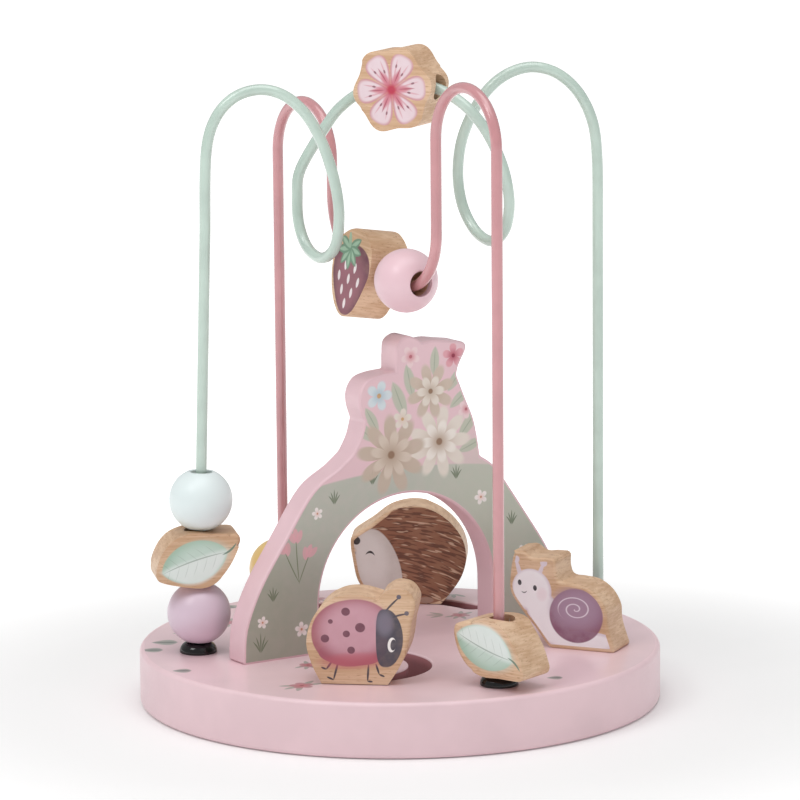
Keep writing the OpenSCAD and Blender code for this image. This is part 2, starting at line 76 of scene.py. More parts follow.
def pivot(name):
    """Point that a joint turns about."""
    return Vector(joint(name)["pos_m"])


def middle(node):
    """Middle of a CAD node's box."""
    low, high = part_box(node)
    return (low + high) / 2


def half_size(node):
    """Half the width, depth and height of a CAD node's box."""
    low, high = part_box(node)
    return (high - low) / 2


BASE_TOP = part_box("base_disc")[1].z
BASE_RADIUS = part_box("base_disc")[1].x
COVER_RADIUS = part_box("bottom_cover")[1].x
COVER_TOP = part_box("bottom_cover")[1].z
FRONT_BEND = pivot("ladybird_track")
BACK_BEND = pivot("hedgehog_track")
FRONT_RADIUS = (pivot("ladybird_swivel") - FRONT_BEND).to_2d().length
BACK_RADIUS = (pivot("hedgehog_swivel") - BACK_BEND).to_2d().length
PEG_WIDTH = 2 * half_size("ladybird_peg").x
KEEPER_WIDTH = 2 * half_size("ladybird_keeper").x
KEEPER_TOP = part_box("ladybird_keeper")[1].z
# Height of the wires' ends over the base's top, below which they are let in
WIRE_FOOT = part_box("mint_wire")[0].z - BASE_TOP


# Colours and settings


def linear(value):
    """Linear share of one display colour value from 0 to 255."""
    share = value / 255
    return share / 12.92 if share <= 0.04045 else ((share + 0.055) / 1.055) ** 2.4


def shade(red, green, blue):
    """Linear colour of three display values."""
    return (linear(red), linear(green), linear(blue))


class MazeSizes(bpy.types.PropertyGroup):
    """Roundings and small sizes that the finished pieces have."""

    rim_round: FloatProperty(
        name="Base rounding", description="Rounding of the base's outer edges",
        default=1.9 * MM, unit="LENGTH")
    slot_lip: FloatProperty(
        name="Slot lip", description="Rounding of the edge of the track's slot",
        default=0.7 * MM, unit="LENGTH")
    arch_round: FloatProperty(
        name="Arch rounding", description="Rounding of the arch panel's edges",
        default=1.1 * MM, unit="LENGTH")
    figure_round: FloatProperty(
        name="Figure rounding", description="Rounding of the sawn figures and flat beads",
        default=1.5 * MM, unit="LENGTH")
    wire_radius: FloatProperty(
        name="Wire radius", description="Radius of the coated wires",
        default=2.22 * MM, unit="LENGTH")
    bore_lip: FloatProperty(
        name="Bore lip", description="Countersink around the round beads' bores",
        default=0.7 * MM, unit="LENGTH")


class MazeColours(bpy.types.PropertyGroup):
    """Paints and coatings."""

    base_pink: FloatVectorProperty(
        name="Base pink", description="Paint of the base",
        subtype="COLOR", default=shade(238, 207, 213))
    arch_pink: FloatVectorProperty(
        name="Arch pink", description="Paint of the arch",
        subtype="COLOR", default=shade(232, 198, 205))
    mint: FloatVectorProperty(
        name="Mint", description="Coating of the looped wire",
        subtype="COLOR", default=shade(190, 209, 198))
    rose: FloatVectorProperty(
        name="Rose", description="Coating of the planar wire",
        subtype="COLOR", default=shade(203, 143, 147))
    white: FloatVectorProperty(
        name="White", description="Paint of the white bead",
        subtype="COLOR", default=shade(232, 243, 243))
    lilac: FloatVectorProperty(
        name="Lilac", description="Paint of the lilac bead",
        subtype="COLOR", default=shade(220, 198, 213))
    blush: FloatVectorProperty(
        name="Blush", description="Paint of the pale pink bead",
        subtype="COLOR", default=shade(229, 195, 203))
    ochre: FloatVectorProperty(
        name="Ochre", description="Paint of the yellow bead",
        subtype="COLOR", default=shade(228, 192, 122))
    # Painted shade: the colour inside the track is a darkened rose that stands in for the shade deep in the
    # slot
    groove: FloatVectorProperty(
        name="Groove", description="Thin paint inside the track",
        subtype="COLOR", default=shade(190, 130, 136))
    beech_light: FloatVectorProperty(
        name="Light beech", description="Pale wood of the sawn pieces",
        subtype="COLOR", default=shade(225, 193, 162))
    beech_dark: FloatVectorProperty(
        name="Dark beech", description="Darker bands of the wood",
        subtype="COLOR", default=shade(198, 159, 124))


class MazeStage(bpy.types.PropertyGroup):
    """Camera, which the lights follow."""

    distance: FloatProperty(
        name="Distance", description="From the camera to the middle of the toy",
        default=1.8, unit="LENGTH")
    look_height: FloatProperty(
        name="Look height", description="Height of the point that the camera looks at",
        default=121.1 * MM, unit="LENGTH")
    side_step: FloatProperty(
        name="Side step", description="Shift of the camera to its right",
        default=0.9 * MM, unit="LENGTH")
    azimuth: FloatProperty(
        name="Azimuth", description="Turn of the camera round the toy",
        default=math.radians(-32.5), unit="ROTATION")
    elevation: FloatProperty(
        name="Elevation", description="Height of the camera over the horizon",
        default=math.radians(9.92), unit="ROTATION")
    roll: FloatProperty(
        name="Roll", description="Turn of the camera about its own line of sight",
        default=math.radians(-0.5), unit="ROTATION")
    lens: FloatProperty(
        name="Lens", description="Focal length in millimetres on a 36 mm sensor", default=202.4)


# Modelling helpers


# Segments of a rounded edge, and the angle under which two facets are one face
EDGE_SEGMENTS, SAME_PLANE = 4, math.radians(0.6)


def clear_selection():
    """Leaves edit mode and deselects everything, the CAD nodes too."""
    if bpy.context.mode != "OBJECT":
        bpy.ops.object.mode_set(mode="OBJECT")
    bpy.ops.object.select_all(action="DESELECT")


def take_up(piece):
    """Makes a piece the only selected object."""
    clear_selection()
    piece.select_set(True)
    bpy.context.view_layer.objects.active = piece


def open_mesh():
    """Enters edit mode with the whole mesh selected."""
    bpy.ops.object.mode_set(mode="EDIT")
    bpy.ops.mesh.select_all(action="SELECT")


def close_mesh():
    """Points every face outwards and leaves edit mode."""
    bpy.ops.mesh.select_all(action="SELECT")
    bpy.ops.mesh.normals_make_consistent(inside=False)
    bpy.ops.object.mode_set(mode="OBJECT")


def pick_none(piece, kind):
    """Takes up a piece with no face or edge selected, ready for some to be picked in code."""
    take_up(piece)
    bpy.ops.object.mode_set(mode="EDIT")
    bpy.ops.mesh.select_mode(type=kind)
    bpy.ops.mesh.select_all(action="DESELECT")
    bpy.ops.object.mode_set(mode="OBJECT")


def on_ring(centre, radius, angle):
    """Point on a circle, at an angle in degrees."""
    turn = math.radians(angle)
    return (centre[0] + radius * math.cos(turn), centre[1] + radius * math.sin(turn))


def ring_of(centre, radius, start, end, step=3):
    """Points along an arc between two angles in degrees."""
    count = math.ceil(abs(end - start) / step)
    return [on_ring(centre, radius, start + (end - start) * i / count) for i in range(count + 1)]


def loop_of(points, name):
    """Closed ring of edges through points, added as a circle and drawn to shape."""
    clear_selection()
    bpy.ops.mesh.primitive_circle_add(vertices=len(points), radius=MM, fill_type="NOTHING")
    ring = bpy.context.object
    ring.name = name
    for vertex, point in zip(ring.data.vertices, points):
        vertex.co = point
    return ring


def turned(profile, name, steps):
    """Piece turned on a lathe: a closed profile of radius and height, spun about Z."""
    piece = loop_of([(r, 0, z) for r, z in profile], name)
    open_mesh()
    bpy.ops.mesh.spin(steps=steps, angle=math.tau, center=(0, 0, 0), axis=(0, 0, 1))
    bpy.ops.mesh.select_all(action="SELECT")
    bpy.ops.mesh.remove_doubles(threshold=MERGE)
    close_mesh()
    return piece


def lofted(rings, name):
    """Closed block through rings of points, from the lowest to the highest."""
    hoops = [loop_of(ring, name) for ring in rings]
    clear_selection()
    for hoop in hoops:
        hoop.select_set(True)
    bpy.context.view_layer.objects.active = hoops[0]
    bpy.ops.object.join()
    open_mesh()
    bpy.ops.mesh.bridge_edge_loops()
    bpy.ops.mesh.select_all(action="SELECT")
    bpy.ops.mesh.fill_holes(sides=0)
    close_mesh()
    return hoops[0]


def cut_away(piece, tool):
    """Takes the tool's shape out of a piece and removes the tool."""
    take_up(piece)
    cutter = piece.modifiers.new("cut", "BOOLEAN")
    cutter.operation = "DIFFERENCE"
    cutter.solver = "EXACT"
    cutter.object = tool
    bpy.ops.object.modifier_apply(modifier=cutter.name)
    bpy.data.objects.remove(tool)


def round_edges(piece, wanted, width):
    """Rounds the edges that the test picks."""
    pick_none(piece, "EDGE")
    spots = piece.data.vertices
    for edge in piece.data.edges:
        edge.select = wanted(*[spots[i].co for i in edge.vertices])
    bpy.ops.object.mode_set(mode="EDIT")
    bpy.ops.mesh.bevel(offset=width, segments=EDGE_SEGMENTS, profile=0.5, affect="EDGES")
    bpy.ops.object.mode_set(mode="OBJECT")


def smoothed(piece):
    """Smooth shading on roundings, with flat faces kept flat."""
    take_up(piece)
    bpy.ops.object.shade_smooth_by_angle(angle=SMOOTH_ANGLE)
    weights = piece.modifiers.new("flat faces", "WEIGHTED_NORMAL")
    weights.keep_sharp = True
    bpy.ops.object.modifier_apply(modifier=weights.name)


def put_in_place(piece, matrix):
    """Moves a piece to its place and leaves that place in its mesh."""
    take_up(piece)
    piece.matrix_world = matrix
    bpy.ops.object.transform_apply(location=True, rotation=True, scale=True)


def hand_over(piece, node, body):
    """The piece stands for a CAD node, whose part it hides, and rides on its body."""
    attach(piece, body)
    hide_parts(node)


def sawn(node, width):
    """Copy of a sawn CAD solid, merged, with the edges of its two flat faces rounded."""
    clear_selection()
    mesh = frame["nodes"][node].data.copy()
    mesh.materials.clear()
    piece = bpy.data.objects.new(node + "_finished", mesh)
    bpy.context.scene.collection.objects.link(piece)
    take_up(piece)
    bpy.ops.mesh.customdata_custom_splitnormals_clear()
    open_mesh()
    bpy.ops.mesh.remove_doubles(threshold=MERGE)
    bpy.ops.mesh.dissolve_limited(angle_limit=SAME_PLANE)
    bpy.ops.object.mode_set(mode="OBJECT")
    face = FlatFace(piece)
    round_edges(piece, lambda a, b: face.on_skin(a) and face.on_skin(b), width)
    return piece, face


class FlatFace:
    """Axes of a sawn piece: X across its printed face, Y into it and Z up it."""

    def __init__(self, piece):
        areas = {}
        for polygon in piece.data.polygons:
            key = tuple(round(value, 2) for value in polygon.normal)
            areas[key] = areas.get(key, 0) + polygon.area
        normal = Vector(max(areas, key=areas.get)).normalized()
        if normal.y > 0:
            normal.negate()
        across = Vector((-normal.y, normal.x, 0)).normalized()
        upward = across.cross(-normal).normalized()
        self.axes = Matrix((across, -normal, upward)).transposed()
        points = [self.axes.transposed() @ v.co for v in piece.data.vertices]
        self.low = Vector(min(p[i] for p in points) for i in range(3))
        self.high = Vector(max(p[i] for p in points) for i in range(3))
        self.origin = self.axes @ ((self.low + self.high) / 2)

    def on_skin(self, point):
        """Whether a point lies on the front or back face."""
        depth = (self.axes.transposed() @ point).y
        return min(abs(depth - self.low.y), abs(depth - self.high.y)) < HAIR

    def move_to(self, point):
        """Starts the axes at another point."""
        self.origin = Vector(point)

    def flip(self):
        """Turns the axes over, for a bead that is threaded upside down."""
        self.axes = self.axes @ Matrix.Rotation(math.pi, 3, "X")

    def lean(self, angle):
        """Leans the axes in the plane of the face."""
        self.axes = self.axes @ Matrix.Rotation(angle, 3, "Y")

    def paint_faces(self, piece, side, front):
        """Gives the sides one material and the two flat faces another."""
        piece.data.materials.append(side)
        piece.data.materials.append(front)
        for polygon in piece.data.polygons:
            depth = (self.axes.transposed() @ polygon.normal).y
            polygon.material_index = int(abs(depth) > LEVEL)


# Material helpers


# Depth of the materials' fine relief
RELIEF = 0.05 * MM


def fill(tree, node, inputs):
    """Fills a node's inputs with values or links."""
    for key, value in inputs.items():
        if isinstance(value, bpy.types.NodeSocket):
            tree.links.new(value, node.inputs[key])
        else:
            node.inputs[key].default_value = value


def make(tree, kind, inputs, **settings):
    """Adds a node, sets its options and fills its inputs."""
    made = tree.nodes.new(kind)
    for key, value in settings.items():
        setattr(made, key, value)
    fill(tree, made, inputs)
    return made


def maths(tree, operation, first, second=0.0):
    """One sum of two values or links."""
    return make(tree, "ShaderNodeMath", {0: first, 1: second}, operation=operation).outputs[0]


def between(tree, value, low, high, start=0.0, end=1.0):
    """Value eased from one range to another and kept inside it."""
    ranged = make(tree, "ShaderNodeMapRange", {
        "Value": value, "From Min": low, "From Max": high, "To Min": start, "To Max": end,
    }, interpolation_type="SMOOTHSTEP")
    return ranged.outputs[0]


def mixed(tree, share, first, second):
    """Two colours mixed by a share."""
    return make(tree, "ShaderNodeMixRGB", {0: share, 1: opaque(first), 2: opaque(second)}).outputs[0]


def opaque(colour):
    """A colour with its alpha, or a link as it is."""
    if isinstance(colour, bpy.types.NodeSocket) or len(colour) == 4:
        return colour
    return (*colour, 1.0)


def noise(tree, point, scale, detail=2.0):
    """Noise with one scale for all axes, or a scale for each."""
    scales = (scale,) * 3 if isinstance(scale, float) else scale
    stretched = make(tree, "ShaderNodeMapping", {"Vector": point, "Scale": scales})
    made = make(tree, "ShaderNodeTexNoise", {"Vector": stretched.outputs[0], "Scale": 1.0, "Detail": detail})
    return made.outputs["Fac"]


def piece_point(tree, axes=None, origin=(0, 0, 0)):
    """Point in a piece's own axes, in millimetres."""
    turn = (axes or Matrix.Identity(3)).to_euler()
    place = make(tree, "ShaderNodeTexCoord", {})
    local = make(tree, "ShaderNodeMapping", {
        "Vector": place.outputs["Object"], "Location": origin, "Rotation": turn,
        "Scale": (MM, MM, MM)}, vector_type="TEXTURE")
    return local.outputs[0]


def new_material(name):
    """Empty node material and its shader."""
    material = bpy.data.materials.new(name)
    material.use_nodes = True
    tree = material.node_tree
    return material, tree, tree.nodes["Principled BSDF"]


def bump(tree, shader, height, strength):
    """Fine relief on a shader."""
    made = make(tree, "ShaderNodeBump", {"Height": height, "Strength": strength, "Distance": RELIEF})
    fill(tree, shader, {"Normal": made.outputs[0]})


def clouded(tree, point, colour, scale=0.03, detail=3.0, dark=0.93, spread=0.15):
    """A colour with faint darker clouds."""
    cloud = between(tree, noise(tree, point, scale, detail), 0.5 - spread, 0.5 + spread)
    return mixed(tree, cloud, tuple(dark * value for value in colour), colour)


def satin(tree, shader, point, colour, rough):
    """Satin finish over a colour: brushed relief and a thin clear coat."""
    fine = noise(tree, point, 0.9)
    fill(tree, shader, {
        "Base Color": colour, "Coat Weight": 0.12, "Coat Roughness": 0.25,
        "Roughness": between(tree, fine, 0.3, 0.7, rough - 0.05, rough + 0.07)})
    bump(tree, shader, fine, 0.12)


def paint(name, colour, rough=0.38):
    """Satin paint on wood."""
    material, tree, shader = new_material(name)
    point = piece_point(tree)
    satin(tree, shader, point, clouded(tree, point, colour), rough)
    return material


def coating(name, colour):
    """Glossy dipped coating on wire, with a soft orange-peel relief."""
    material, tree, shader = new_material(name)
    point = piece_point(tree)
    fill(tree, shader, {
        "Base Color": clouded(tree, point, colour, 0.08, 2.0, 0.9, 0.2),
        "Roughness": 0.24, "Coat Weight": 0.8, "Coat Roughness": 0.06})
    bump(tree, shader, noise(tree, point, 0.55), 0.15)
    return material


def beech(tree, point, colours):
    """Pale beech: broad bands, fine streaks and short brown flecks, longest along the piece's X."""
    bands = noise(tree, point, (0.012, 0.05, 0.11), 3.0)
    streaks = noise(tree, point, (0.035, 0.16, 1.3))
    flecks = noise(tree, point, (0.3, 0.55, 2.4), 1.0)
    tone = maths(tree, "ADD", maths(tree, "MULTIPLY", bands, 0.55), maths(tree, "MULTIPLY", streaks, 0.45))
    wood = mixed(tree, between(tree, tone, 0.36, 0.66), colours.beech_dark, colours.beech_light)
    fleck = between(tree, flecks, 0.6, 0.74, 0.0, 0.5)
    return mixed(tree, fleck, wood, shade(158, 108, 74)), streaks


def clear_coat(tree, shader, colour, rough, relief, depth):
    """Thin matt clear coat over wood and its grain."""
    fill(tree, shader, {
        "Base Color": colour, "Roughness": rough, "Coat Weight": 0.08, "Coat Roughness": 0.4})
    bump(tree, shader, relief, depth)


def wood_material(name, colours, axes=None, origin=(0, 0, 0)):
    """Clear-coated bare beech."""
    material, tree, shader = new_material(name)
    colour, relief = beech(tree, piece_point(tree, axes, origin), colours)
    clear_coat(tree, shader, colour, 0.5, relief, 0.2)
    return material


# Brush marks for the prints


COLOUR, VECTOR, NUMBER = "NodeSocketColor", "NodeSocketVector", "NodeSocketFloat"
DAB_INPUTS = {
    COLOUR: ("Under", "Paint"), VECTOR: ("Point", "Centre", "Half Size"),
    NUMBER: ("Wash", "Turn", "Roundness", "Taper", "Bend", "Softness", "Strength"),
}
BLOSSOM_INPUTS = {
    COLOUR: ("Under", "Petal", "Throat", "Eye"), VECTOR: ("Point", "Centre"),
    NUMBER: ("Wash", "Turn", "Radius", "Petals", "Notch", "Strength"),
}
# Share of a mark's colour that is added to the next mark's point: too little to be seen
TIE = 1e-9


def open_group(name, inputs):
    """Empty node group with the given inputs and one colour output."""
    group = bpy.data.node_groups.new(name, "ShaderNodeTree")
    for kind, sockets in inputs.items():
        for socket in sockets:
            group.interface.new_socket(name=socket, in_out="INPUT", socket_type=kind)
    group.interface.new_socket(name="Colour", in_out="OUTPUT", socket_type=COLOUR)
    return group, group.nodes.new("NodeGroupInput").outputs


def close_group(group, colour):
    """Links the group's colour to its output."""
    group.links.new(colour, group.nodes.new("NodeGroupOutput").inputs[0])


def local_point(group, given):
    """The group's point in the mark's own turned frame."""
    offset = make(group, "ShaderNodeVectorMath", {0: given["Point"], 1: given["Centre"]},
                  operation="SUBTRACT")
    spun = make(group, "ShaderNodeVectorRotate", {
        "Vector": offset.outputs[0], "Angle": given["Turn"]}, rotation_type="Z_AXIS")
    return spun.outputs[0]


def dab_group():
    """Node group of a soft-edged brush mark: an ellipse that can be pointed, tapered and bent."""
    group, given = open_group("brush_dab", DAB_INPUTS)
    sized = make(group, "ShaderNodeVectorMath", {0: local_point(group, given), 1: given["Half Size"]},
                 operation="DIVIDE")
    axes = make(group, "ShaderNodeSeparateXYZ", {0: sized.outputs[0]})
    x, y = axes.outputs[0], axes.outputs[1]
    squared = maths(group, "MULTIPLY", y, y)
    straight = maths(group, "SUBTRACT", x, maths(group, "MULTIPLY", squared, given["Bend"]))
    width = maths(group, "ADD", maths(group, "MULTIPLY", y, given["Taper"]), 1.0)
    slim = maths(group, "ABSOLUTE", maths(group, "DIVIDE", straight, maths(group, "MAXIMUM", width, 0.05)))
    reach = maths(group, "ADD", maths(group, "POWER", slim, given["Roundness"]), squared)
    low = maths(group, "SUBTRACT", 1.0, given["Softness"])
    high = maths(group, "ADD", 1.0, given["Softness"])
    inside = between(group, reach, low, high, 1.0, 0.0)
    share = maths(group, "MULTIPLY", inside, maths(group, "MULTIPLY", given["Strength"], given["Wash"]))
    close_group(group, mixed(group, share, given["Under"], given["Paint"]))


def blossom_group():
    """Node group of a round blossom with notched petals, a darker throat and a small eye."""
    group, given = open_group("blossom", BLOSSOM_INPUTS)
    axes = make(group, "ShaderNodeSeparateXYZ", {0: local_point(group, given)})
    x, y = axes.outputs[0], axes.outputs[1]
    angle = maths(group, "ARCTAN2", y, x)
    squares = maths(group, "ADD", maths(group, "MULTIPLY", x, x), maths(group, "MULTIPLY", y, y))
    length = maths(group, "SQRT", squares)
    half_turns = maths(group, "MULTIPLY", maths(group, "MULTIPLY", angle, given["Petals"]), 0.5)
    wave = maths(group, "ABSOLUTE", maths(group, "COSINE", half_turns))
    hollow = maths(group, "SUBTRACT", 1.0, maths(group, "POWER", wave, 0.55))
    edge = maths(group, "SUBTRACT", 1.0, maths(group, "MULTIPLY", hollow, given["Notch"]))
    reach = maths(group, "DIVIDE", length, maths(group, "MULTIPLY", given["Radius"], edge))
    core = maths(group, "DIVIDE", length, given["Radius"])
    share = maths(group, "MULTIPLY", between(group, reach, 0.88, 1.08, 1.0, 0.0),
                  maths(group, "MULTIPLY", given["Strength"], given["Wash"]))
    petal = mixed(group, between(group, core, 0.1, 0.75, 0.85, 0.0), given["Petal"], given["Throat"])
    flower = mixed(group, share, given["Under"], petal)
    eye = maths(group, "MULTIPLY", between(group, core, 0.12, 0.2, 1.0, 0.0), given["Strength"])
    close_group(group, mixed(group, eye, flower, given["Eye"]))


class Brush:
    """Lays marks one over another on a printed face, in millimetres across and up the face."""

    def __init__(self, tree, point, ground):
        self.tree = tree
        axes = make(tree, "ShaderNodeSeparateXYZ", {0: point})
        flat = make(tree, "ShaderNodeCombineXYZ", {0: axes.outputs[0], 1: axes.outputs[2]})
        self.point = flat.outputs[0]
        self.wash = between(tree, noise(tree, self.point, 0.22, 3.0), 0.3, 0.7, 0.9, 1.0)
        self.colour = ground

    def lay(self, group, values):
        """Adds one mark over the colour so far, tied to it so that the renderer works in order."""
        if isinstance(self.colour, bpy.types.NodeSocket):
            tied = make(self.tree, "ShaderNodeVectorMath", {
                0: self.colour, 1: (TIE, TIE, TIE), 2: self.point}, operation="MULTIPLY_ADD")
            self.point = tied.outputs[0]
        given = {"Under": self.colour, "Point": self.point, "Wash": self.wash, **values}
        made = make(self.tree, "ShaderNodeGroup", given, node_tree=bpy.data.node_groups[group])
        self.colour = made.outputs[0]

    def dab(self, colour, at, half, turn=0.0, point=2.0, taper=0.0, bend=0.0, soft=0.12, strength=1.0):
        """A mark with half its width and half its length, turned from upright and pointed below 2."""
        self.lay("brush_dab", {
            "Paint": opaque(shade(*colour)), "Centre": (*at, 0), "Turn": math.radians(-turn),
            "Half Size": (*half, 1), "Roundness": point, "Taper": taper, "Bend": bend,
            "Softness": soft, "Strength": strength})

    def stroke(self, colour, start, end, width, **looks):
        """A narrow mark from one point to another."""
        start, end = Vector(start), Vector(end)
        along = end - start
        turn = math.degrees(math.atan2(-along.x, along.y))
        self.dab(colour, (start + end) / 2, (width, along.length / 2), turn, **looks)

    def blossom(self, at, radius, petal, throat, eye, petals=5, turn=0.0, notch=0.72, strength=1.0):
        """A small flower."""
        self.lay("blossom", {
            "Petal": opaque(shade(*petal)), "Throat": opaque(shade(*throat)),
            "Eye": opaque(shade(*eye)), "Centre": (*at, 0), "Turn": math.radians(-turn),
            "Radius": radius, "Petals": float(petals), "Notch": notch, "Strength": strength})


def printed(name, face, colours, marks, ground=None):
    """Material of a printed face: bare beech or paint, with brush marks over it."""
    material, tree, shader = new_material(name)
    point = piece_point(tree, face.axes, face.origin)
    wood, relief = beech(tree, point, colours)
    brush = Brush(tree, point, opaque(ground) if ground else wood)
    marks(brush)
    clear_coat(tree, shader, brush.colour, 0.48, relief, 0.1)
    return material


def heading(turn):
    """Unit step up a face, leaned to the left by a turn in degrees."""
    lean = math.radians(turn)
    return Vector((-math.sin(lean), math.cos(lean)))


def sprig(brush, at, turn, colour, reach, count=3):
    """A short fan of narrow leaves."""
    for i in range(count):
        lean = turn + (i - (count - 1) / 2) * 38
        brush.dab(colour, Vector(at) + heading(lean) * reach, (reach * 0.24, reach * 0.8), lean, point=1.3,
                  soft=0.25, strength=0.8)


def grass(brush, at, height):
    """A tuft of five grass blades that spread from one root."""
    for i in range(-2, 3):
        lean = i * -17
        tall = height * (1 - 0.12 * abs(i))
        brush.dab((104, 118, 92), Vector(at) + heading(lean) * tall / 2, (0.32, tall / 2), lean, point=1.0,
                  bend=0.5 * i, soft=0.3, strength=0.85)


# The prints


LEAF_PALE, LEAF_MID, LEAF_DEEP = (226, 235, 231), (198, 218, 207), (156, 190, 170)
LEAF_LINE = (108, 134, 118)


def leaf_print(brush):
    """One leaf in two soft greens with a midrib, side veins and a stalk."""
    turn, along, wide = -73, 13.6, 8.3
    axis, side = heading(turn), heading(turn - 90)
    centre = Vector((-1.6, -0.4))
    brush.dab(LEAF_DEEP, centre, (wide, along), turn, point=1.5, soft=0.05)
    brush.dab(LEAF_MID, centre + axis * 1.5, (wide * 0.8, along * 0.86), turn, point=1.5, soft=0.8)
    brush.dab(LEAF_PALE, centre + side * wide * 0.46, (wide * 0.6, along), turn, point=1.3,
              bend=-0.75, soft=0.3)
    for i in range(6):
        root = centre + axis * (i * 3.9 - 10.5)
        for hand in (-1, 1):
            spot = root + side * hand * 2.6 + axis * -1.4
            brush.dab(LEAF_LINE, spot, (0.15, 3.1), turn + 180 + hand * 56, point=1.4,
                      bend=0.9 * hand, soft=0.3, strength=0.24)
    brush.dab(LEAF_LINE, centre - side * 0.5, (0.26, along), turn, point=1.2, bend=4.0, soft=0.3,
              strength=0.6)
    brush.dab(LEAF_LINE, centre + axis * 15.0 + side * 0.2, (0.42, 3.6), turn + 22, point=1.6,
              bend=-1.6, soft=0.3)


def flower_print(brush):
    """Six pale petals with rose edges and dark stamens around a crimson eye."""
    for turn in range(-25, 335, 60):
        axis = heading(turn)
        brush.dab((200, 142, 154), axis * 8.2, (4.3, 6.5), turn, point=2.6, taper=0.55, soft=0.08,
                  strength=0.9)
        brush.dab((226, 206, 212), axis * 8.5, (3.6, 5.8), turn, point=2.6, taper=0.55, soft=0.3)
        brush.dab((196, 92, 112), axis * 4.6, (1.4, 4.6), turn, point=1.2, taper=-0.5, soft=0.8,
                  strength=0.85)
        for hand in (-1, 1):
            streak = turn + hand * 12
            spot = heading(streak)
            brush.dab((206, 134, 148), spot * 8.2, (0.32, 4.0), streak, point=1.3, soft=0.5, strength=0.6)
            brush.dab((112, 50, 66), spot * (8.6 + hand), (0.4, 0.75), streak, soft=0.3, strength=0.8)
        brush.dab((150, 60, 82), axis * 6.6, (0.2, 3.4), turn, soft=0.4, strength=0.7)
    brush.dab((184, 44, 72), (0, 0), (1.9, 1.9), soft=0.8)


def strawberry_print(brush):
    """A plum-red berry with pale seeds and a green calyx."""
    brush.dab((106, 56, 72), (0, -2.8), (12.6, 14.4), taper=0.36, point=2.4, soft=0.04)
    brush.dab((160, 102, 114), (0.4, -4.6), (9.4, 11.6), taper=0.34, soft=0.8, strength=0.8)
    for row, count in enumerate((2, 3, 2, 1)):
        for i in range(count):
            seed = ((i - (count - 1) / 2) * 7.2 + 0.8, 2.2 - row * 5.0)
            brush.dab((243, 234, 234), seed, (0.95, 2.1), turn=seed[0] * -1.2, point=1.6, soft=0.2,
                      strength=0.94)
    heart = Vector((3.4, 9.2))
    for i in range(7):
        turn = (i - 3) * 40 + 176
        tip = heart + heading(turn) * 4.0
        brush.dab((104, 140, 116), tip, (1.9, 4.8), turn, point=1.2, soft=0.12)
        brush.dab((162, 192, 166), tip, (0.9, 3.8), turn, point=1.2, soft=0.4, strength=0.8)
    brush.stroke((150, 180, 154), heart, heart + Vector((1.6, 6.4)), 1.1, soft=0.2)


def ladybird_print(brush):
    """A rose ladybird with plum spots and a dark head to the right."""
    ink, plum, edge = (70, 62, 72), (112, 62, 78), (160, 86, 100)
    for hip, knee, toe in (
            ((-8.4, 9.4), (-10.8, 6.0), (-12.8, 6.8)), ((-6.0, 9.4), (-8.0, 1.9), (-10.6, 3.0)),
            ((5.8, 8.6), (5.3, 1.6), (7.3, 1.4)), ((8.6, 8.6), (9.9, 4.4), (12.0, 3.5))):
        brush.stroke(ink, hip, knee, 0.42, soft=0.3)
        brush.stroke(ink, knee, toe, 0.4, soft=0.3)
    for root, tip in (((11.6, 28.6), (17.8, 35.2)), ((15.0, 27.2), (20.8, 28.8))):
        brush.stroke(ink, root, tip, 0.38, bend=0.6, soft=0.3)
        brush.dab((96, 90, 104), tip, (0.9, 0.9), soft=0.25)
    brush.dab(edge, (-0.4, 20.6), (16.2, 13.2), turn=8, point=2.25, soft=0.04)
    brush.dab(edge, (-1.6, 12.0), (12.2, 4.0), turn=-3, point=2.8, soft=0.05)
    brush.dab((204, 156, 168), (0.2, 22.0), (13.6, 10.8), turn=8, soft=0.6, strength=0.95)
    brush.dab((188, 92, 106), (0.0, 9.6), (12.4, 3.0), turn=4, soft=0.9, strength=0.65)
    for x, z, r in ((-3.0, 29.0, 1.7), (-9.0, 25.0, 0.95), (2.6, 22.8, 1.95), (-11.2, 18.2, 1.65),
                    (-2.8, 20.2, 1.4), (-1.0, 13.8, 1.5)):
        brush.dab(plum, (x, z), (r, r * 0.95), soft=0.18)
    brush.dab((72, 67, 79), (14.0, 18.8), (5.3, 11.5), point=2.5, bend=-0.3, soft=0.05)
    brush.dab((140, 132, 148), (12.2, 24.6), (3.2, 4.8), soft=0.9, strength=0.6)
    brush.dab((248, 244, 240), (14.9, 16.2), (1.6, 2.9), turn=-6, soft=0.12)
    brush.dab(ink, (15.5, 16.2), (1.1, 2.2), turn=-6, soft=0.12)


def hedgehog_print(brush):
    """A brown hedgehog with short quill strokes and a pale face to the left."""
    coat, face, ink = (146, 98, 74), (216, 208, 203), (38, 32, 34)
    brush.dab(coat, (1.8, 20.6), (21.4, 20.8), point=2.3, soft=0.03)
    brush.dab(coat, (-10.5, 26.6), (9.0, 9.5), turn=35, soft=0.1)
    quills(brush)
    brush.dab(face, (-14.0, 15.6), (9.2, 16.8), turn=12, point=2.2, taper=-0.12, soft=0.06)
    brush.dab(face, (-19.4, 26.0), (4.2, 6.0), turn=62, soft=0.12)
    brush.dab((236, 231, 228), (-16.8, 19.6), (6.6, 11.0), turn=14, soft=0.8, strength=0.8)
    brush.dab(ink, (-23.0, 27.2), (1.6, 1.7), soft=0.15)
    brush.dab(ink, (-17.2, 22.4), (0.5, 1.9), turn=84, bend=-2.4, soft=0.25)
    for x in (-8.0, 6.0):
        brush.dab((168, 136, 120), (x, 1.9), (3.2, 1.3), soft=0.2)


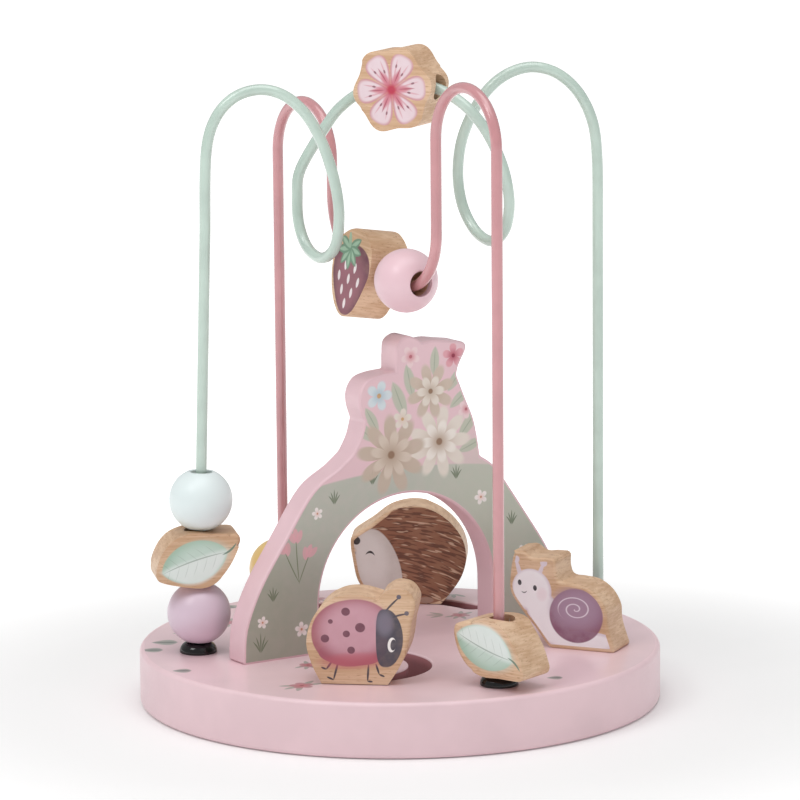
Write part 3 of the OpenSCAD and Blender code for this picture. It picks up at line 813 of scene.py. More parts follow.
def quills(brush):
    """Dark and light strokes that run back from the face and droop behind it."""
    tree = brush.tree
    axes = make(tree, "ShaderNodeSeparateXYZ", {0: brush.point})
    x, y = axes.outputs[0], axes.outputs[1]
    behind = maths(tree, "ADD", x, 14.0)
    droop = maths(tree, "MULTIPLY", maths(tree, "MULTIPLY", behind, behind), 0.005)
    fan = maths(tree, "MULTIPLY", maths(tree, "MULTIPLY", maths(tree, "SUBTRACT", 24.0, y), behind), 0.006)
    level = maths(tree, "ADD", maths(tree, "ADD", y, droop), fan)
    for colour, shift, low in (((100, 62, 47), 0.0, 0.5), ((214, 182, 156), 90.0, 0.6)):
        lines = make(tree, "ShaderNodeCombineXYZ", {0: x, 1: level, 2: shift})
        strokes = noise(tree, lines.outputs[0], (0.14, 1.0, 1.0), 1.0)
        share = between(tree, strokes, low, low + 0.07, 0.0, 0.85)
        brush.colour = mixed(tree, share, brush.colour, shade(*colour))


def snail_print(brush):
    """A pale lilac snail with a purple shell and a white spiral."""
    body, edge, ink = (243, 238, 241), (222, 209, 219), (46, 40, 48)
    brush.dab(edge, (-1.0, 4.2), (3.6, 15.4), turn=90, point=2.2, taper=-0.25, soft=0.05)
    for turn, root in ((16, (-27.0, 31.2)), (-22, (-17.8, 30.6))):
        tip = Vector(root) + heading(turn) * 4.2
        brush.dab(edge, root, (0.9, 4.8), turn, taper=-0.2, soft=0.2)
        brush.dab(edge, tip, (1.5, 1.5), soft=0.15)
    brush.dab(edge, (-21.4, 23.0), (8.4, 8.8), turn=24, soft=0.05)
    brush.dab(edge, (-14.8, 12.6), (7.0, 13.4), turn=34, point=2.2, soft=0.05)
    brush.dab(body, (-14.8, 12.6), (6.3, 12.8), turn=34, point=2.2, soft=0.2)
    brush.dab(body, (-21.6, 23.2), (7.7, 8.1), turn=24, soft=0.2)
    brush.dab(body, (-1.0, 3.9), (2.9, 14.8), turn=90, taper=-0.25, soft=0.3)
    for x, z in ((-26.6, 25.8), (-20.0, 24.0)):
        brush.dab(ink, (x, z), (0.8, 1.15), turn=6, soft=0.15)
    brush.dab(ink, (-24.6, 21.8), (0.26, 1.2), turn=96, bend=2.2, soft=0.3, strength=0.85)
    brush.dab((226, 178, 190), (-17.0, 21.6), (2.2, 2.6), soft=0.9, strength=0.25)
    brush.dab((138, 92, 116), (-2.4, 13.9), (11.4, 11.0), soft=0.05)
    brush.dab((172, 144, 166), (-2.0, 16.8), (10.4, 8.4), soft=0.8, strength=0.9)
    spiral(brush, (-2.8, 16.6), 3.7, 7.8)


def spiral(brush, at, pitch, reach):
    """A pale line that winds out from the middle of the shell, a little flattened."""
    tree = brush.tree
    offset = make(tree, "ShaderNodeVectorMath", {0: brush.point, 1: (*at, 0)}, operation="SUBTRACT")
    away = make(tree, "ShaderNodeVectorMath", {0: offset.outputs[0], 1: (1, 1.4, 1)}, operation="MULTIPLY")
    axes = make(tree, "ShaderNodeSeparateXYZ", {0: away.outputs[0]})
    span = make(tree, "ShaderNodeVectorMath", {0: away.outputs[0]}, operation="LENGTH").outputs["Value"]
    turns = maths(tree, "DIVIDE", maths(tree, "ARCTAN2", axes.outputs[1], axes.outputs[0]), math.tau)
    phase = maths(tree, "SUBTRACT", maths(tree, "DIVIDE", span, pitch), turns)
    ring = maths(tree, "ABSOLUTE", maths(tree, "SUBTRACT", maths(tree, "FRACT", phase), 0.5))
    line = maths(tree, "MULTIPLY", between(tree, ring, 0.05, 0.12, 0.7, 0.0),
                 between(tree, span, reach - 0.8, reach, 1.0, 0.0))
    brush.colour = mixed(tree, line, brush.colour, shade(240, 230, 240))


def arch_print(brush):
    """A sage hill with daisies and grass, under a posy of cream and beige blossoms."""
    brush.dab((186, 190, 178), (0, -10), (150, 81), soft=0.012)
    brush.dab((148, 150, 132), (-74, 0), (46, 44), soft=0.9, strength=0.55)
    brush.dab((196, 200, 184), (46, 50), (40, 30), soft=0.9, strength=0.5)
    brush.dab((150, 152, 134), (76, 4), (26, 40), soft=0.9, strength=0.4)
    for x, z, tall in ((-69, 4, 8), (-34, 60, 6), (-63, 24, 6), (63, 14, 7), (51, 42, 6), (-16, 66, 6),
                       (24, 64, 6)):
        grass(brush, (x, z), tall)
    for x, z, radius in ((-50, 11, 3.2), (-68, 16, 2.6), (57, 30, 3.2), (67, 22, 2.6), (36, 55, 3.2),
                         (-42, 57, 2.6)):
        brush.blossom((x, z), radius, (247, 240, 238), (240, 214, 210), (206, 150, 120), turn=x)
    pink_sprig(brush, (-51.0, 30.0))
    pink_sprig(brush, (64.0, 4.0))
    leaf_sprays(brush)
    posy(brush)


def pink_sprig(brush, root):
    """Three pink buds on thin stalks."""
    for lean, tall in ((26, 15), (4, 18), (-24, 12)):
        tip = Vector(root) + heading(lean) * tall
        brush.dab((128, 138, 112), (Vector(root) + tip) / 2, (0.26, tall / 2), lean, bend=0.6, soft=0.3)
        for i in (-1, 0, 1):
            brush.dab((230, 174, 183), tip + Vector((i * 1.7, 1.5 - abs(i) * 0.8)), (1.3, 2.8),
                      lean - i * 26, point=1.5, soft=0.2, strength=0.9)


def leaf_sprays(brush):
    """Soft sage leaves that fill the crest around the posy."""
    for x, z, turn, size in ((-20, 88, 48, 7), (-16, 92, 30, 6), (30, 86, -40, 7), (31, 77, -70, 6),
                             (-3, 99, 22, 8), (2, 106, 12, 7), (24, 105, -38, 6), (26, 97, -52, 6),
                             (14, 113, -4, 6)):
        brush.dab((186, 194, 174), (x, z), (size * 0.36, size), turn, point=1.2, soft=0.2, strength=0.9)
        brush.dab((148, 160, 138), (x, z), (0.25, size * 0.9), turn, point=1.2, soft=0.3, strength=0.6)


def posy(brush):
    """Beige and cream blossoms with small rose and pale blue ones between them."""
    tan, beige, cream, brown = (184, 160, 140), (200, 182, 165), (230, 221, 210), (146, 114, 90)
    rose, blush, blue, honey = (224, 160, 170), (238, 212, 214), (214, 226, 231), (204, 164, 116)
    for at, radius, petal, throat, eye, petals, turn in (
            ((16, 80), 15.0, cream, beige, honey, 9, 0),
            ((16, 80), 9.0, (240, 233, 225), tan, brown, 7, 24),
            ((-7, 77), 16.5, beige, tan, brown, 9, 12),
            ((-7, 77), 10.0, (216, 201, 186), tan, brown, 8, 32),
            ((12, 101), 11.5, (206, 189, 173), tan, brown, 8, 15),
            ((12, 101), 6.6, cream, beige, brown, 6, 0),
            ((23, 114.5), 5.2, rose, (186, 76, 98), (148, 46, 70), 5, 20),
            ((2.6, 116), 4.6, blush, (216, 146, 156), (188, 106, 118), 5, 50),
            ((-12.5, 101.5), 6.2, blue, (178, 200, 212), honey, 5, 0),
            ((-1.5, 91), 4.4, cream, (224, 206, 190), honey, 5, 10),
            ((29, 92), 4.0, blush, (216, 146, 156), (188, 106, 118), 5, 60)):
        brush.blossom(at, radius, petal, throat, eye, petals, turn)


def base_print(brush):
    """Small rose blossoms with grey-green leaves, and leaves alone, scattered on the base."""
    rose, deep, leaf = (184, 124, 134), (194, 84, 98), (142, 150, 138)
    for x, y, r, turn in ((-72, -42, 5.0, 0), (-52, -14, 4.0, 40), (88, -14, 4.4, 20), (20, -30, 4.0, 50),
                          (-40, 70, 4.6, 15), (14, 88, 4.4, 60), (47, 27, 4.2, 25), (-62, 62, 4.0, 0),
                          (80, 22, 3.8, 80), (-14, 34, 4.0, 20), (16, 58, 3.8, 5)):
        sprig(brush, (x, y), turn + 100, leaf, r)
        sprig(brush, (x, y), turn - 80, leaf, r, count=2)
        brush.blossom((x, y), r, rose, deep, (140, 52, 66), turn=turn, notch=0.42, strength=0.95)
    for x, y, turn, size in ((-90, 44, 57, 4.2), (-79, 53, 57, 5.0), (-98, 6, 57, 3.6), (16, -87, 60, 3.0),
                             (34, 84, 150, 4.0), (-24, 96, 20, 4.0)):
        brush.dab(leaf, (x, y), (size * 0.85, size), turn, point=1.5, taper=-0.4, soft=0.25, strength=0.85)
        brush.dab((104, 112, 104), (x, y), (size * 0.3, size * 0.95), turn, point=1.3, taper=-0.4, soft=0.6)
    sprig(brush, (67, 63), 150, leaf, 4.4)
    sprig(brush, (42, 31), 60, leaf, 4.4)


# Operators


class MazeOperator:
    """What the operators share: their sizes and colours, and how they end."""

    bl_options = {"REGISTER", "UNDO"}

    def execute(self, context):
        self.sizes = context.scene.maze_sizes
        self.colours = context.scene.maze_colours
        self.build()
        return {"FINISHED"}


FLOOR_RADIUS, FLOOR_DROP = 9, 0.2 * MM
# Distances from the toy between which the floor's glow grows, and its strength at each
GLOW_REACH, GLOW_STRENGTH = (0.14, 0.42), (0.06, 0.66)
ROOM_LIGHT = 0.46
SENSOR_WIDTH = 36
# Turn from the camera and lift in degrees, distance and size in metres, power in watts
SOFT_BOXES = {
    "front left box": (-50, 46, 1.6, 0.6, 5.2),
    "front right box": (34, 42, 1.7, 1.2, 0.7),
    "overhead box": (0, 80, 1.5, 1.2, 11),
}


def bearing(around, lift):
    """Direction from the toy at a turn around it and a lift over the horizon."""
    flat = math.cos(lift)
    return Vector((math.sin(around) * flat, -math.cos(around) * flat, math.sin(lift)))


def looking(direction):
    """Axes of a light or camera that looks along a direction."""
    return direction.to_track_quat("-Z", "Y").to_matrix()


class MAZE_OT_stage(MazeOperator, bpy.types.Operator):
    """Sets the pale floor, the soft lights and the camera"""

    bl_idname = "maze.stage"
    bl_label = "Stage"

    def build(self):
        scene = bpy.context.scene
        scene.view_settings.view_transform = "Standard"
        self.floor()
        self.lights(scene, scene.maze_stage)
        self.camera(scene, scene.maze_stage)

    def floor(self):
        """Wide pale floor that glows a little far from the toy, so that it stays white to its edge."""
        clear_selection()
        bpy.ops.mesh.primitive_circle_add(
            vertices=96, radius=FLOOR_RADIUS, fill_type="NGON", location=(0, 0, -FLOOR_DROP))
        floor = bpy.context.object
        floor.name = "floor"
        material, tree, shader = new_material("pale floor")
        place = make(tree, "ShaderNodeTexCoord", {})
        far = make(tree, "ShaderNodeVectorMath", {0: place.outputs["Object"]}, operation="LENGTH")
        fill(tree, shader, {
            "Base Color": (0.9, 0.9, 0.9, 1), "Roughness": 0.7, "Emission Color": (1, 1, 1, 1),
            "Emission Strength": between(tree, far.outputs["Value"], *GLOW_REACH, *GLOW_STRENGTH)})
        floor.data.materials.append(material)

    def lights(self, scene, stage):
        """A bright room, two soft boxes at the front and one overhead."""
        world = bpy.data.worlds.new("studio")
        scene.world = world
        world.use_nodes = True
        sky = world.node_tree.nodes["Background"]
        fill(world.node_tree, sky, {"Color": (1, 1, 1, 1), "Strength": ROOM_LIGHT})
        for name, (turn, lift, far, size, power) in SOFT_BOXES.items():
            back = bearing(stage.azimuth + math.radians(turn), math.radians(lift))
            clear_selection()
            bpy.ops.object.light_add(type="AREA", location=back * far + UP * stage.look_height)
            box = bpy.context.object
            box.name = name
            box.data.size = size
            box.data.energy = power
            box.rotation_euler = looking(-back).to_euler()

    def camera(self, scene, stage):
        """Camera at the photograph's angle."""
        back = bearing(stage.azimuth, stage.elevation)
        right = bearing(stage.azimuth + math.pi / 2, 0)
        clear_selection()
        place = UP * stage.look_height + back * stage.distance + right * stage.side_step
        bpy.ops.object.camera_add(location=place)
        camera = bpy.context.object
        camera.name = "camera"
        camera.data.lens = stage.lens
        camera.data.sensor_width = SENSOR_WIDTH
        camera.rotation_euler = (looking(-back) @ Matrix.Rotation(stage.roll, 3, "Z")).to_euler()
        scene.camera = camera


# Angles of the track's two ends, play around the pegs and keepers, and play around the cover
FRONT_END, BACK_END = 226, 8
TRACK_GAP, COVER_GAP = 0.4 * MM, 0.2 * MM
# Turning leaves a hole of this radius in the middle, which is then closed
HUB_RADIUS = 10 * MM
BASE_STEPS, RIM_STEPS, LIP_STEPS = 192, 8, 4
# Degrees between the points of the track's round ends
END_STEP = 12
# How far the slot's lip is rounded over, in degrees, and how far its cutter stands out of the top
LIP_TURN, OVERCUT = 76, 0.1 * MM
# Millimetres under the top between which the track's painted shade fades, lighter towards the top, and the
# darkest share of that painted shade
GROOVE_SHADE_LOW, GROOVE_SHADE_HIGH, GROOVE_SHADE_DARK = 4.5, 0.5, 0.62


def slot_end(centre, radius, angle, start, half):
    """Half turn around an end of the track."""
    return ring_of(on_ring(centre, radius, angle), half, start, start + 180, END_STEP)[1:-1]


def track_outline(width):
    """Outline of the S-shaped track: two bends, the run between them and round ends."""
    apart = (BACK_BEND - FRONT_BEND).to_2d()
    lean = math.asin((FRONT_RADIUS + BACK_RADIUS) / apart.length)
    run = math.degrees(math.atan2(apart.y, apart.x) + lean)
    half, leave, join = width / 2, run + 270, run + 90
    return (
        ring_of(FRONT_BEND, FRONT_RADIUS + half, FRONT_END, leave)
        + ring_of(BACK_BEND, BACK_RADIUS - half, join, BACK_END)
        + slot_end(BACK_BEND, BACK_RADIUS, BACK_END, BACK_END + 180, half)
        + ring_of(BACK_BEND, BACK_RADIUS + half, BACK_END, join)
        + ring_of(FRONT_BEND, FRONT_RADIUS - half, leave, FRONT_END)
        + slot_end(FRONT_BEND, FRONT_RADIUS, FRONT_END, FRONT_END - 180, half)
    )


def track_block(levels, name):
    """Block with the track's outline, from pairs of a width and a height."""
    return lofted([[(x, y, z) for x, y in track_outline(width)] for width, z in levels], name)


class MAZE_OT_base(MazeOperator, bpy.types.Operator):
    """Turns the round base, cuts its track and prints its top"""

    bl_idname = "maze.base"
    bl_label = "Base"

    def build(self):
        recess = COVER_RADIUS + COVER_GAP
        base = turned(self.profile(recess), "base_finished", BASE_STEPS)
        self.close_hub(base)
        wide, high = KEEPER_WIDTH + 2 * TRACK_GAP, KEEPER_TOP + TRACK_GAP
        cut_away(base, track_block([(wide, COVER_TOP - MM), (wide, high)], "channel"))
        cut_away(base, track_block(self.slot_levels(high), "slot"))
        take_up(base)
        bpy.ops.object.shade_smooth_by_angle(angle=SMOOTH_ANGLE)
        self.finish(base, recess)
        hand_over(base, "base_disc", "base")

    def profile(self, recess):
        """Half section: the recess for the cover, the rounded rim, the top and the hub."""
        rounding = self.sizes.rim_round
        rim = []
        for start, height in ((-90, rounding), (0, BASE_TOP - rounding)):
            rim += ring_of((BASE_RADIUS - rounding, height), rounding, start, start + 90, 90 / RIM_STEPS)
        return [(recess, 0), *rim, (HUB_RADIUS, BASE_TOP), (HUB_RADIUS, COVER_TOP), (recess, COVER_TOP)]

    def close_hub(self, base):
        """Fills the hole that turning leaves in the middle."""
        pick_none(base, "FACE")
        for polygon in base.data.polygons:
            polygon.select = polygon.center.to_2d().length < HUB_RADIUS
        bpy.ops.object.mode_set(mode="EDIT")
        bpy.ops.mesh.delete(type="FACE")
        bpy.ops.mesh.select_mode(type="EDGE")
        bpy.ops.mesh.select_all(action="DESELECT")
        bpy.ops.mesh.select_non_manifold()
        bpy.ops.mesh.edge_face_add()
        close_mesh()

    def slot_levels(self, low):
        """Widths and heights of the slot, from the channel up to a rounded lip that opens past the top."""
        lip, width = self.sizes.slot_lip, PEG_WIDTH + TRACK_GAP
        levels = [(width, low - MM)]
        for i in range(LIP_STEPS + 1):
            angle = math.radians(LIP_TURN * i / LIP_STEPS)
            levels.append((width + 2 * lip * (1 - math.cos(angle)), BASE_TOP - lip * (1 - math.sin(angle))))
        wide, high = levels[-1]
        return [*levels, (wide + 2 * OVERCUT * math.tan(math.radians(LIP_TURN)), high + OVERCUT)]

    def finish(self, base, recess):
        """Paint on the rim and underside, a print on the top and, inside the track, paint darkened as
        painted shade.
        """
        for coat in (paint("base paint", self.colours.base_pink), self.printed_top(), self.groove_painted_shade()):
            base.data.materials.append(coat)
        for polygon in base.data.polygons:
            spot = polygon.center
            top = polygon.normal.z > LEVEL and spot.z > BASE_TOP - HAIR
            # Faces inside the track take the painted shade of the groove
            inside = spot.to_2d().length < recess and spot.z < BASE_TOP - self.sizes.slot_lip
            polygon.material_index = 1 if top else 2 if inside else 0
            polygon.use_smooth = abs(polygon.normal.z) < LEVEL

    def groove_painted_shade(self):
        """Paint inside the track, darkened as painted shade of the deep slot and darker still towards its
        bottom.
        """
        material, tree, shader = new_material("groove painted shade")
        point = piece_point(tree)
        height = make(tree, "ShaderNodeSeparateXYZ", {0: point}).outputs[2]
        top = BASE_TOP / MM
        # Painted shade: the colour darkens from near the top of the track down towards its bottom
        light = between(tree, height, top - GROOVE_SHADE_LOW, top - GROOVE_SHADE_HIGH)
        dark = tuple(GROOVE_SHADE_DARK * value for value in self.colours.groove)
        satin(tree, shader, point, mixed(tree, light, dark, self.colours.groove), 0.6)
        return material

    def printed_top(self):
        """Pink paint with scattered blossoms."""
        material, tree, shader = new_material("base print")
        point = piece_point(tree)
        flat = make(tree, "ShaderNodeSeparateXYZ", {0: point})
        upright = make(tree, "ShaderNodeCombineXYZ", {0: flat.outputs[0], 2: flat.outputs[1]})
        brush = Brush(tree, upright.outputs[0], clouded(tree, point, self.colours.base_pink))
        base_print(brush)
        fill(tree, shader, {
            "Base Color": brush.colour, "Roughness": 0.36, "Coat Weight": 0.45, "Coat Roughness": 0.22})
        bump(tree, shader, noise(tree, point, 0.9), 0.12)
        return material


class MAZE_OT_arch(MazeOperator, bpy.types.Operator):
    """Rounds the arch panel's edges and prints its faces"""

    bl_idname = "maze.arch"
    bl_label = "Arch"

    def build(self):
        panel, face = sawn("arch_panel", self.sizes.arch_round)
        centre = (face.low + face.high) / 2
        face.move_to((centre.x, centre.y, BASE_TOP))
        smoothed(panel)
        side = paint("arch paint", self.colours.arch_pink)
        front = printed("arch print", face, self.colours, arch_print, self.colours.arch_pink)
        face.paint_faces(panel, side, front)
        hand_over(panel, "arch_panel", "base")


# Routes of the two wires


# Loops of the mint wire, in millimetres, with Z above the base
LEFT_LOOP = [
    (-70.7, 27.8, 200), (-67.4, 26, 214), (-60.8, 22.3, 222.5), (-52, 17.5, 225.5),
    (-43.4, 12.9, 223), (-36, 9, 215.5), (-30.6, 5.6, 204), (-27.6, 2, 190), (-26.4, 0.4, 177),
    (-26, 3.2, 164.5), (-26, 9.5, 158.5), (-26, 17.5, 157), (-26, 26, 160.5), (-26, 31.6, 168.5),
    (-25.8, 33, 179), (-24.6, 32, 191),
]
RIGHT_LOOP = [
    (23.5, -32.8, 205.5), (27.6, -35.6, 193.5), (29.8, -36.2, 181), (30.5, -33, 170.5),
    (30.5, -27, 164.8), (30.5, -19.5, 163.3), (30, -10.5, 167), (29, -3.8, 176), (28.5, -1.5, 188),
    (29.2, -3, 201), (31.8, -7.4, 213), (37.2, -11.6, 223), (44.5, -15.6, 229), (53, -19.8, 231),
    (61.8, -24.2, 228), (69.3, -27.9, 220), (74.2, -30.3, 208), (75.8, -31, 193),
]
# The mint wire's straight legs, the left one's lean, and the bow between the loops
MINT_LEG = 170 * MM
LEFT_LEAN = Vector((0.027, -0.016, 1))
BOW_RADIUS = 42 * MM
BOW_ANGLES = range(-54, 45, 14)
BOW_TURN = math.radians(-57)
# Radii of the two bends in the pink wire's dip, and the heights where its bows begin
DIP_BENDS = (23 * MM, 31 * MM)
FRONT_SPRING, BACK_SPRING = 208 * MM, 192 * MM
# Points between two knots of a loop, and degrees between two points of a bend
ROUTE_STEPS, BEND_STEP = 8, 5


def eased(points):
    """Smooth curve through points."""
    curve = []
    last = len(points) - 1
    for i in range(last):
        a, b, c, d = (points[min(max(k, 0), last)] for k in (i - 1, i, i + 1, i + 2))
        for j in range(ROUTE_STEPS):
            t = j / ROUTE_STEPS
            curve.append(0.5 * (2 * b + (c - a) * t + (2 * a - 5 * b + 4 * c - d) * t ** 2
                                + (3 * b - a - 3 * c + d) * t ** 3))
    return curve + [points[last]]


class MAZE_OT_wires(MazeOperator, bpy.types.Operator):
    """Bends the two coated wires"""

    bl_idname = "maze.wires"
    bl_label = "Wires"

    def build(self):
        mint = coating("mint coating", self.colours.mint)
        rose = coating("rose coating", self.colours.rose)
        self.wire("mint_wire", self.mint_route(), mint, "mint_coated_wire")
        self.wire("pink_wire", self.pink_route(), rose, "pink_coated_wire")

    def foot(self, collar):
        """Where a wire leaves the base."""
        spot = middle(collar)
        return Vector((spot.x, spot.y, BASE_TOP))

    def mint_route(self):
        """Leg, loop, middle bow, loop and leg."""
        left, right = self.foot("collar_mint_left"), self.foot("collar_mint_right")
        centre = pivot("flower_swing")
        along = Vector((math.cos(BOW_TURN), math.sin(BOW_TURN), 0))
        bow = [centre + BOW_RADIUS * (math.sin(math.radians(a)) * along + math.cos(math.radians(a)) * UP)
               for a in BOW_ANGLES]
        raised = [[Vector(p) * MM + UP * BASE_TOP for p in loop] for loop in (LEFT_LOOP, RIGHT_LOOP)]
        knots = [left + LEFT_LEAN * MINT_LEG, *raised[0], *bow, *raised[1], right + UP * MINT_LEG]
        return [left + LEFT_LEAN * WIRE_FOOT, *eased(knots), right + UP * WIRE_FOOT]

    def pink_route(self):
        """Leg, bow, strand, dip, strand, bow and leg, in one upright plane."""
        front, back = self.foot("collar_pink_front"), self.foot("collar_pink_back")
        along = (back - front).normalized()
        corners = [pivot("pink_bead_swing") - front, pivot("strawberry_swing") - front]
        near, far = ((corner.dot(along), corner.z) for corner in corners)
        length = (back - front).length
        first = (near[0] - DIP_BENDS[0]) / 2
        last = (length - far[0] - DIP_BENDS[1]) / 2
        flat = [
            (0, WIRE_FOOT),
            *ring_of((first, FRONT_SPRING), first, 180, 0, BEND_STEP),
            *ring_of(near, DIP_BENDS[0], 180, 270, BEND_STEP),
            *ring_of(far, DIP_BENDS[1], 270, 360, BEND_STEP),
            *ring_of((length - last, BACK_SPRING), last, 180, 0, BEND_STEP),
            (length, WIRE_FOOT),
        ]
        return [front + along * s + UP * h for s, h in flat]

    def wire(self, node, route, material, slot):
        """Round wire along a route, made a mesh."""
        clear_selection()
        bpy.ops.curve.primitive_nurbs_path_add()
        wire = bpy.context.object
        wire.name = node + "_finished"
        wire.data.splines.clear()
        line = wire.data.splines.new("POLY")
        line.points.add(len(route) - 1)
        for knot, spot in zip(line.points, route):
            knot.co = (*spot, 1)
        wire.data.bevel_depth = self.sizes.wire_radius
        wire.data.bevel_resolution = 6
        wire.data.use_fill_caps = True
        take_up(wire)
        bpy.ops.object.convert(target="MESH")
        bpy.ops.object.shade_smooth()
        wire.data.materials.clear()
        wire.data.materials.append(material)
        hand_over(wire, node, "base")


COLLAR_STEPS, DOME_STEPS = 48, 10
# Play around the wire, height of the foot's edge, depth of the dome, and two small bevels
COLLAR_GAP, COLLAR_FOOT, COLLAR_DOME = 0.33 * MM, 0.6 * MM, 3.6 * MM
COLLAR_EDGE, COLLAR_LIP = 0.25 * MM, 0.4 * MM


class MAZE_OT_collars(MazeOperator, bpy.types.Operator):
    """Turns the black collars at the wires' feet"""

    bl_idname = "maze.collars"
    bl_label = "Collars"

    def build(self):
        material, tree, shader = new_material("black collar")
        haze = noise(tree, piece_point(tree), 0.5)
        fill(tree, shader, {
            "Base Color": mixed(tree, haze, (0.003, 0.003, 0.0035), (0.007, 0.006, 0.007)),
            "Roughness": between(tree, haze, 0.3, 0.7, 0.08, 0.15)})
        for node in ("collar_mint_left", "collar_mint_right", "collar_pink_front", "collar_pink_back"):
            half = half_size(node)
            collar = turned(self.profile(half.x, 2 * half.z), node + "_finished", COLLAR_STEPS)
            put_in_place(collar, Matrix.Translation(middle(node) - UP * half.z))
            smoothed(collar)
            collar.data.materials.append(material)
            hand_over(collar, node, "base")

    def profile(self, radius, height):
        """Domed cap with a thin foot and a small lip around the wire."""
        bore = self.sizes.wire_radius + COLLAR_GAP
        rise = height - COLLAR_FOOT
        dome = [(radius - COLLAR_EDGE, 0), (radius, COLLAR_EDGE)]
        for i in range(DOME_STEPS + 1):
            angle = math.radians(90 * i / DOME_STEPS)
            inward = COLLAR_DOME * (1 - math.cos(angle))
            dome.append((radius - inward, COLLAR_FOOT + rise * math.sin(angle)))
        return [(bore, 0), *dome, (bore + COLLAR_LIP, height), (bore, height - COLLAR_LIP)]


BEAD_STEPS = 96
# Radii of the round beads' bores on straight legs and on bends
LEG_BORE, BEND_BORE = 4.2 * MM, 5.0 * MM
# How far the paint runs into a bore, and the least flat that a countersink leaves
PAINT_RUN, LEAST_FLAT = 2.6 * MM, 0.05 * MM


class MAZE_OT_round_beads(MazeOperator, bpy.types.Operator):
    """Turns and paints the round beads"""

    bl_idname = "maze.round_beads"
    bl_label = "Round beads"

    def build(self):
        colours = self.colours
        bare = wood_material("bore wood", colours)
        upright = Matrix.Identity(3)
        lean = UP.rotation_difference(LEFT_LEAN).to_matrix()
        along = Vector(joint("pink_bead_swing")["axis"]).cross(UP)
        level = UP.rotation_difference(along).to_matrix()
        for node, body, slot, colour, turn, bore in (
                ("white_ball", "white_bead", "white_paint", colours.white, lean, LEG_BORE),
                ("purple_ball", "purple_bead", "purple_paint", colours.lilac, lean, LEG_BORE),
                ("yellow_ball", "yellow_bead", "yellow_paint", colours.ochre, upright, LEG_BORE),
                ("pink_ball", "pink_bead", "pale_pink_paint", colours.blush, level, BEND_BORE)):
            bead = turned(self.profile(bore), node + "_finished", BEAD_STEPS)
            self.finish(bead, bore, paint(node + " paint", colour, 0.34), bare)
            put_in_place(bead, Matrix.Translation(middle(node)) @ turn.to_4x4())
            smoothed(bead)
            hand_over(bead, node, body)

    def profile(self, bore):
        """Half section of a ball with two small flats and a countersunk bore."""
        ball = half_size("yellow_ball")
        radius, half = ball.x, ball.z
        lip = min(self.sizes.bore_lip, math.sqrt(radius ** 2 - half ** 2) - bore - LEAST_FLAT)
        reach = math.degrees(math.asin(half / radius))
        mouth = [(bore + lip, half), (bore + 0.25 * lip, half - 0.3 * lip), (bore, half - lip),
                 (bore, half - lip - PAINT_RUN)]
        return ring_of((0, 0), radius, -reach, reach) + mouth + [(r, -z) for r, z in reversed(mouth)]

    def finish(self, bead, bore, outside, inside):
        """Paint outside and a little way in, bare wood in the middle band of the bore."""
        bead.data.materials.append(outside)
        bead.data.materials.append(inside)
        for polygon in bead.data.polygons:
            spot = polygon.center
            polygon.material_index = int(spot.to_2d().length < bore and abs(spot.z) < PAINT_RUN)


class MAZE_OT_leaf_beads(MazeOperator, bpy.types.Operator):
    """Rounds and prints the two leaf beads"""

    bl_idname = "maze.leaf_beads"
    bl_label = "Leaf beads"

    def build(self):
        for node, body in (("leaf_bead_left", "left_leaf"), ("leaf_bead_front", "front_leaf")):
            bead, face = sawn(node, self.sizes.figure_round)
            if node == "leaf_bead_front":
                face.flip()
            finish_sawn(self, bead, face, node, body, leaf_print)


def finish_sawn(operator, piece, face, node, body, marks):
    """Wood sides, printed faces, and the place in the frame of a sawn piece."""
    smoothed(piece)
    side = wood_material(node + " wood", operator.colours, face.axes, face.origin)
    front = printed(node + " print", face, operator.colours, marks)
    face.paint_faces(piece, side, front)
    hand_over(piece, node, body)


class MAZE_OT_flower_bead(MazeOperator, bpy.types.Operator):
    """Rounds and prints the flower bead"""

    bl_idname = "maze.flower_bead"
    bl_label = "Flower bead"

    def build(self):
        bead, face = sawn("flower_bead", self.sizes.figure_round)
        finish_sawn(self, bead, face, "flower_bead", "flower", flower_print)


# How far the strawberry's picture leans on its bead
BERRY_LEAN = math.radians(-6)


class MAZE_OT_strawberry_bead(MazeOperator, bpy.types.Operator):
    """Rounds and prints the strawberry bead"""

    bl_idname = "maze.strawberry_bead"
    bl_label = "Strawberry bead"

    def build(self):
        bead, face = sawn("strawberry_bead", self.sizes.figure_round)
        face.lean(BERRY_LEAN)
        finish_sawn(self, bead, face, "strawberry_bead", "strawberry", strawberry_print)


class MAZE_OT_figures(MazeOperator, bpy.types.Operator):
    """Rounds and prints the ladybird, the hedgehog and the snail"""

    bl_idname = "maze.figures"
    bl_label = "Figures"

    def build(self):
        for name, marks, spot in (
                ("ladybird", ladybird_print, pivot("ladybird_swivel")),
                ("hedgehog", hedgehog_print, pivot("hedgehog_swivel")),
                ("snail", snail_print, middle("snail_dowels"))):
            node = name + "_figure"
            figure, face = sawn(node, self.sizes.figure_round)
            face.move_to((spot.x, spot.y, BASE_TOP))
            finish_sawn(self, figure, face, node, "base" if name == "snail" else name, marks)


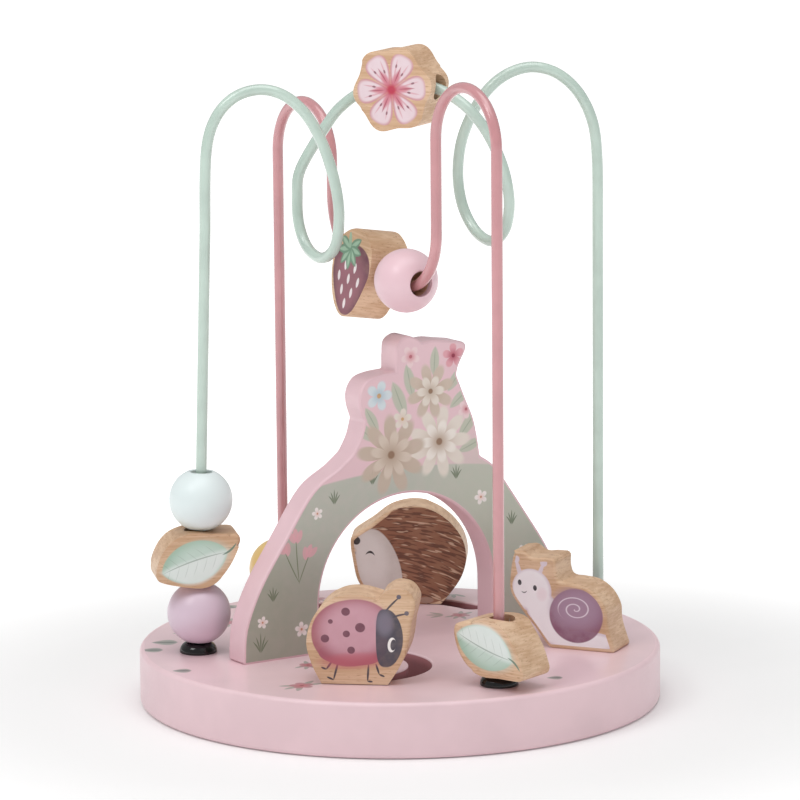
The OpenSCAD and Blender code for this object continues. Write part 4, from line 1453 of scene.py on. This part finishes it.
class MAZE_OT_inner_parts(MazeOperator, bpy.types.Operator):
    """Finishes the cover, dowels, pegs, keepers and screws"""

    bl_idname = "maze.inner_parts"
    bl_label = "Inner parts"

    def build(self):
        wood = wood_material("bare dowel", self.colours)
        steel, tree, shader = new_material("zinc screw")
        brushed = noise(tree, piece_point(tree), (0.4, 0.4, 4.0))
        fill(tree, shader, {
            "Base Color": (0.52, 0.52, 0.51, 1), "Metallic": 1.0,
            "Roughness": between(tree, brushed, 0.3, 0.7, 0.28, 0.45)})
        for node in ("bottom_cover", "arch_dowels", "snail_dowels", "ladybird_peg", "ladybird_keeper",
                     "hedgehog_peg", "hedgehog_keeper"):
            self.coat(node, wood)
        for node in ("cover_screws", "ladybird_screw", "hedgehog_screw"):
            self.coat(node, steel)

    def coat(self, node, material):
        """Gives a CAD node one material."""
        mesh = frame["nodes"][node].data
        mesh.materials.clear()
        mesh.materials.append(material)


OPERATORS = (
    MAZE_OT_stage, MAZE_OT_base, MAZE_OT_arch, MAZE_OT_wires, MAZE_OT_collars, MAZE_OT_round_beads,
    MAZE_OT_leaf_beads, MAZE_OT_flower_bead, MAZE_OT_strawberry_bead, MAZE_OT_figures,
    MAZE_OT_inner_parts,
)


class MAZE_PT_panel(bpy.types.Panel):
    """Lists the bead maze's operators and settings"""

    bl_idname = "MAZE_PT_panel"
    bl_label = "Bead Maze"
    bl_space_type = "VIEW_3D"
    bl_region_type = "UI"
    bl_category = "Bead Maze"

    def draw(self, context):
        layout = self.layout
        for operator in OPERATORS:
            layout.operator(operator.bl_idname)
        for group in (context.scene.maze_sizes, context.scene.maze_colours, context.scene.maze_stage):
            for key in group.__annotations__:
                layout.prop(group, key)


CLASSES = (MazeSizes, MazeColours, MazeStage, *OPERATORS, MAZE_PT_panel)


def register():
    """Registers the classes and the settings on the scene."""
    for one in CLASSES:
        bpy.utils.register_class(one)
    bpy.types.Scene.maze_sizes = PointerProperty(type=MazeSizes)
    bpy.types.Scene.maze_colours = PointerProperty(type=MazeColours)
    bpy.types.Scene.maze_stage = PointerProperty(type=MazeStage)


def unregister():
    """Takes the settings and classes away again."""
    del bpy.types.Scene.maze_stage, bpy.types.Scene.maze_colours, bpy.types.Scene.maze_sizes
    for one in reversed(CLASSES):
        bpy.utils.unregister_class(one)


def main():
    """Builds every piece in order."""
    register()
    dab_group()
    blossom_group()
    for operator in OPERATORS:
        getattr(bpy.ops.maze, operator.bl_idname.split(".")[1])()


if __name__ == "__main__":
    main()
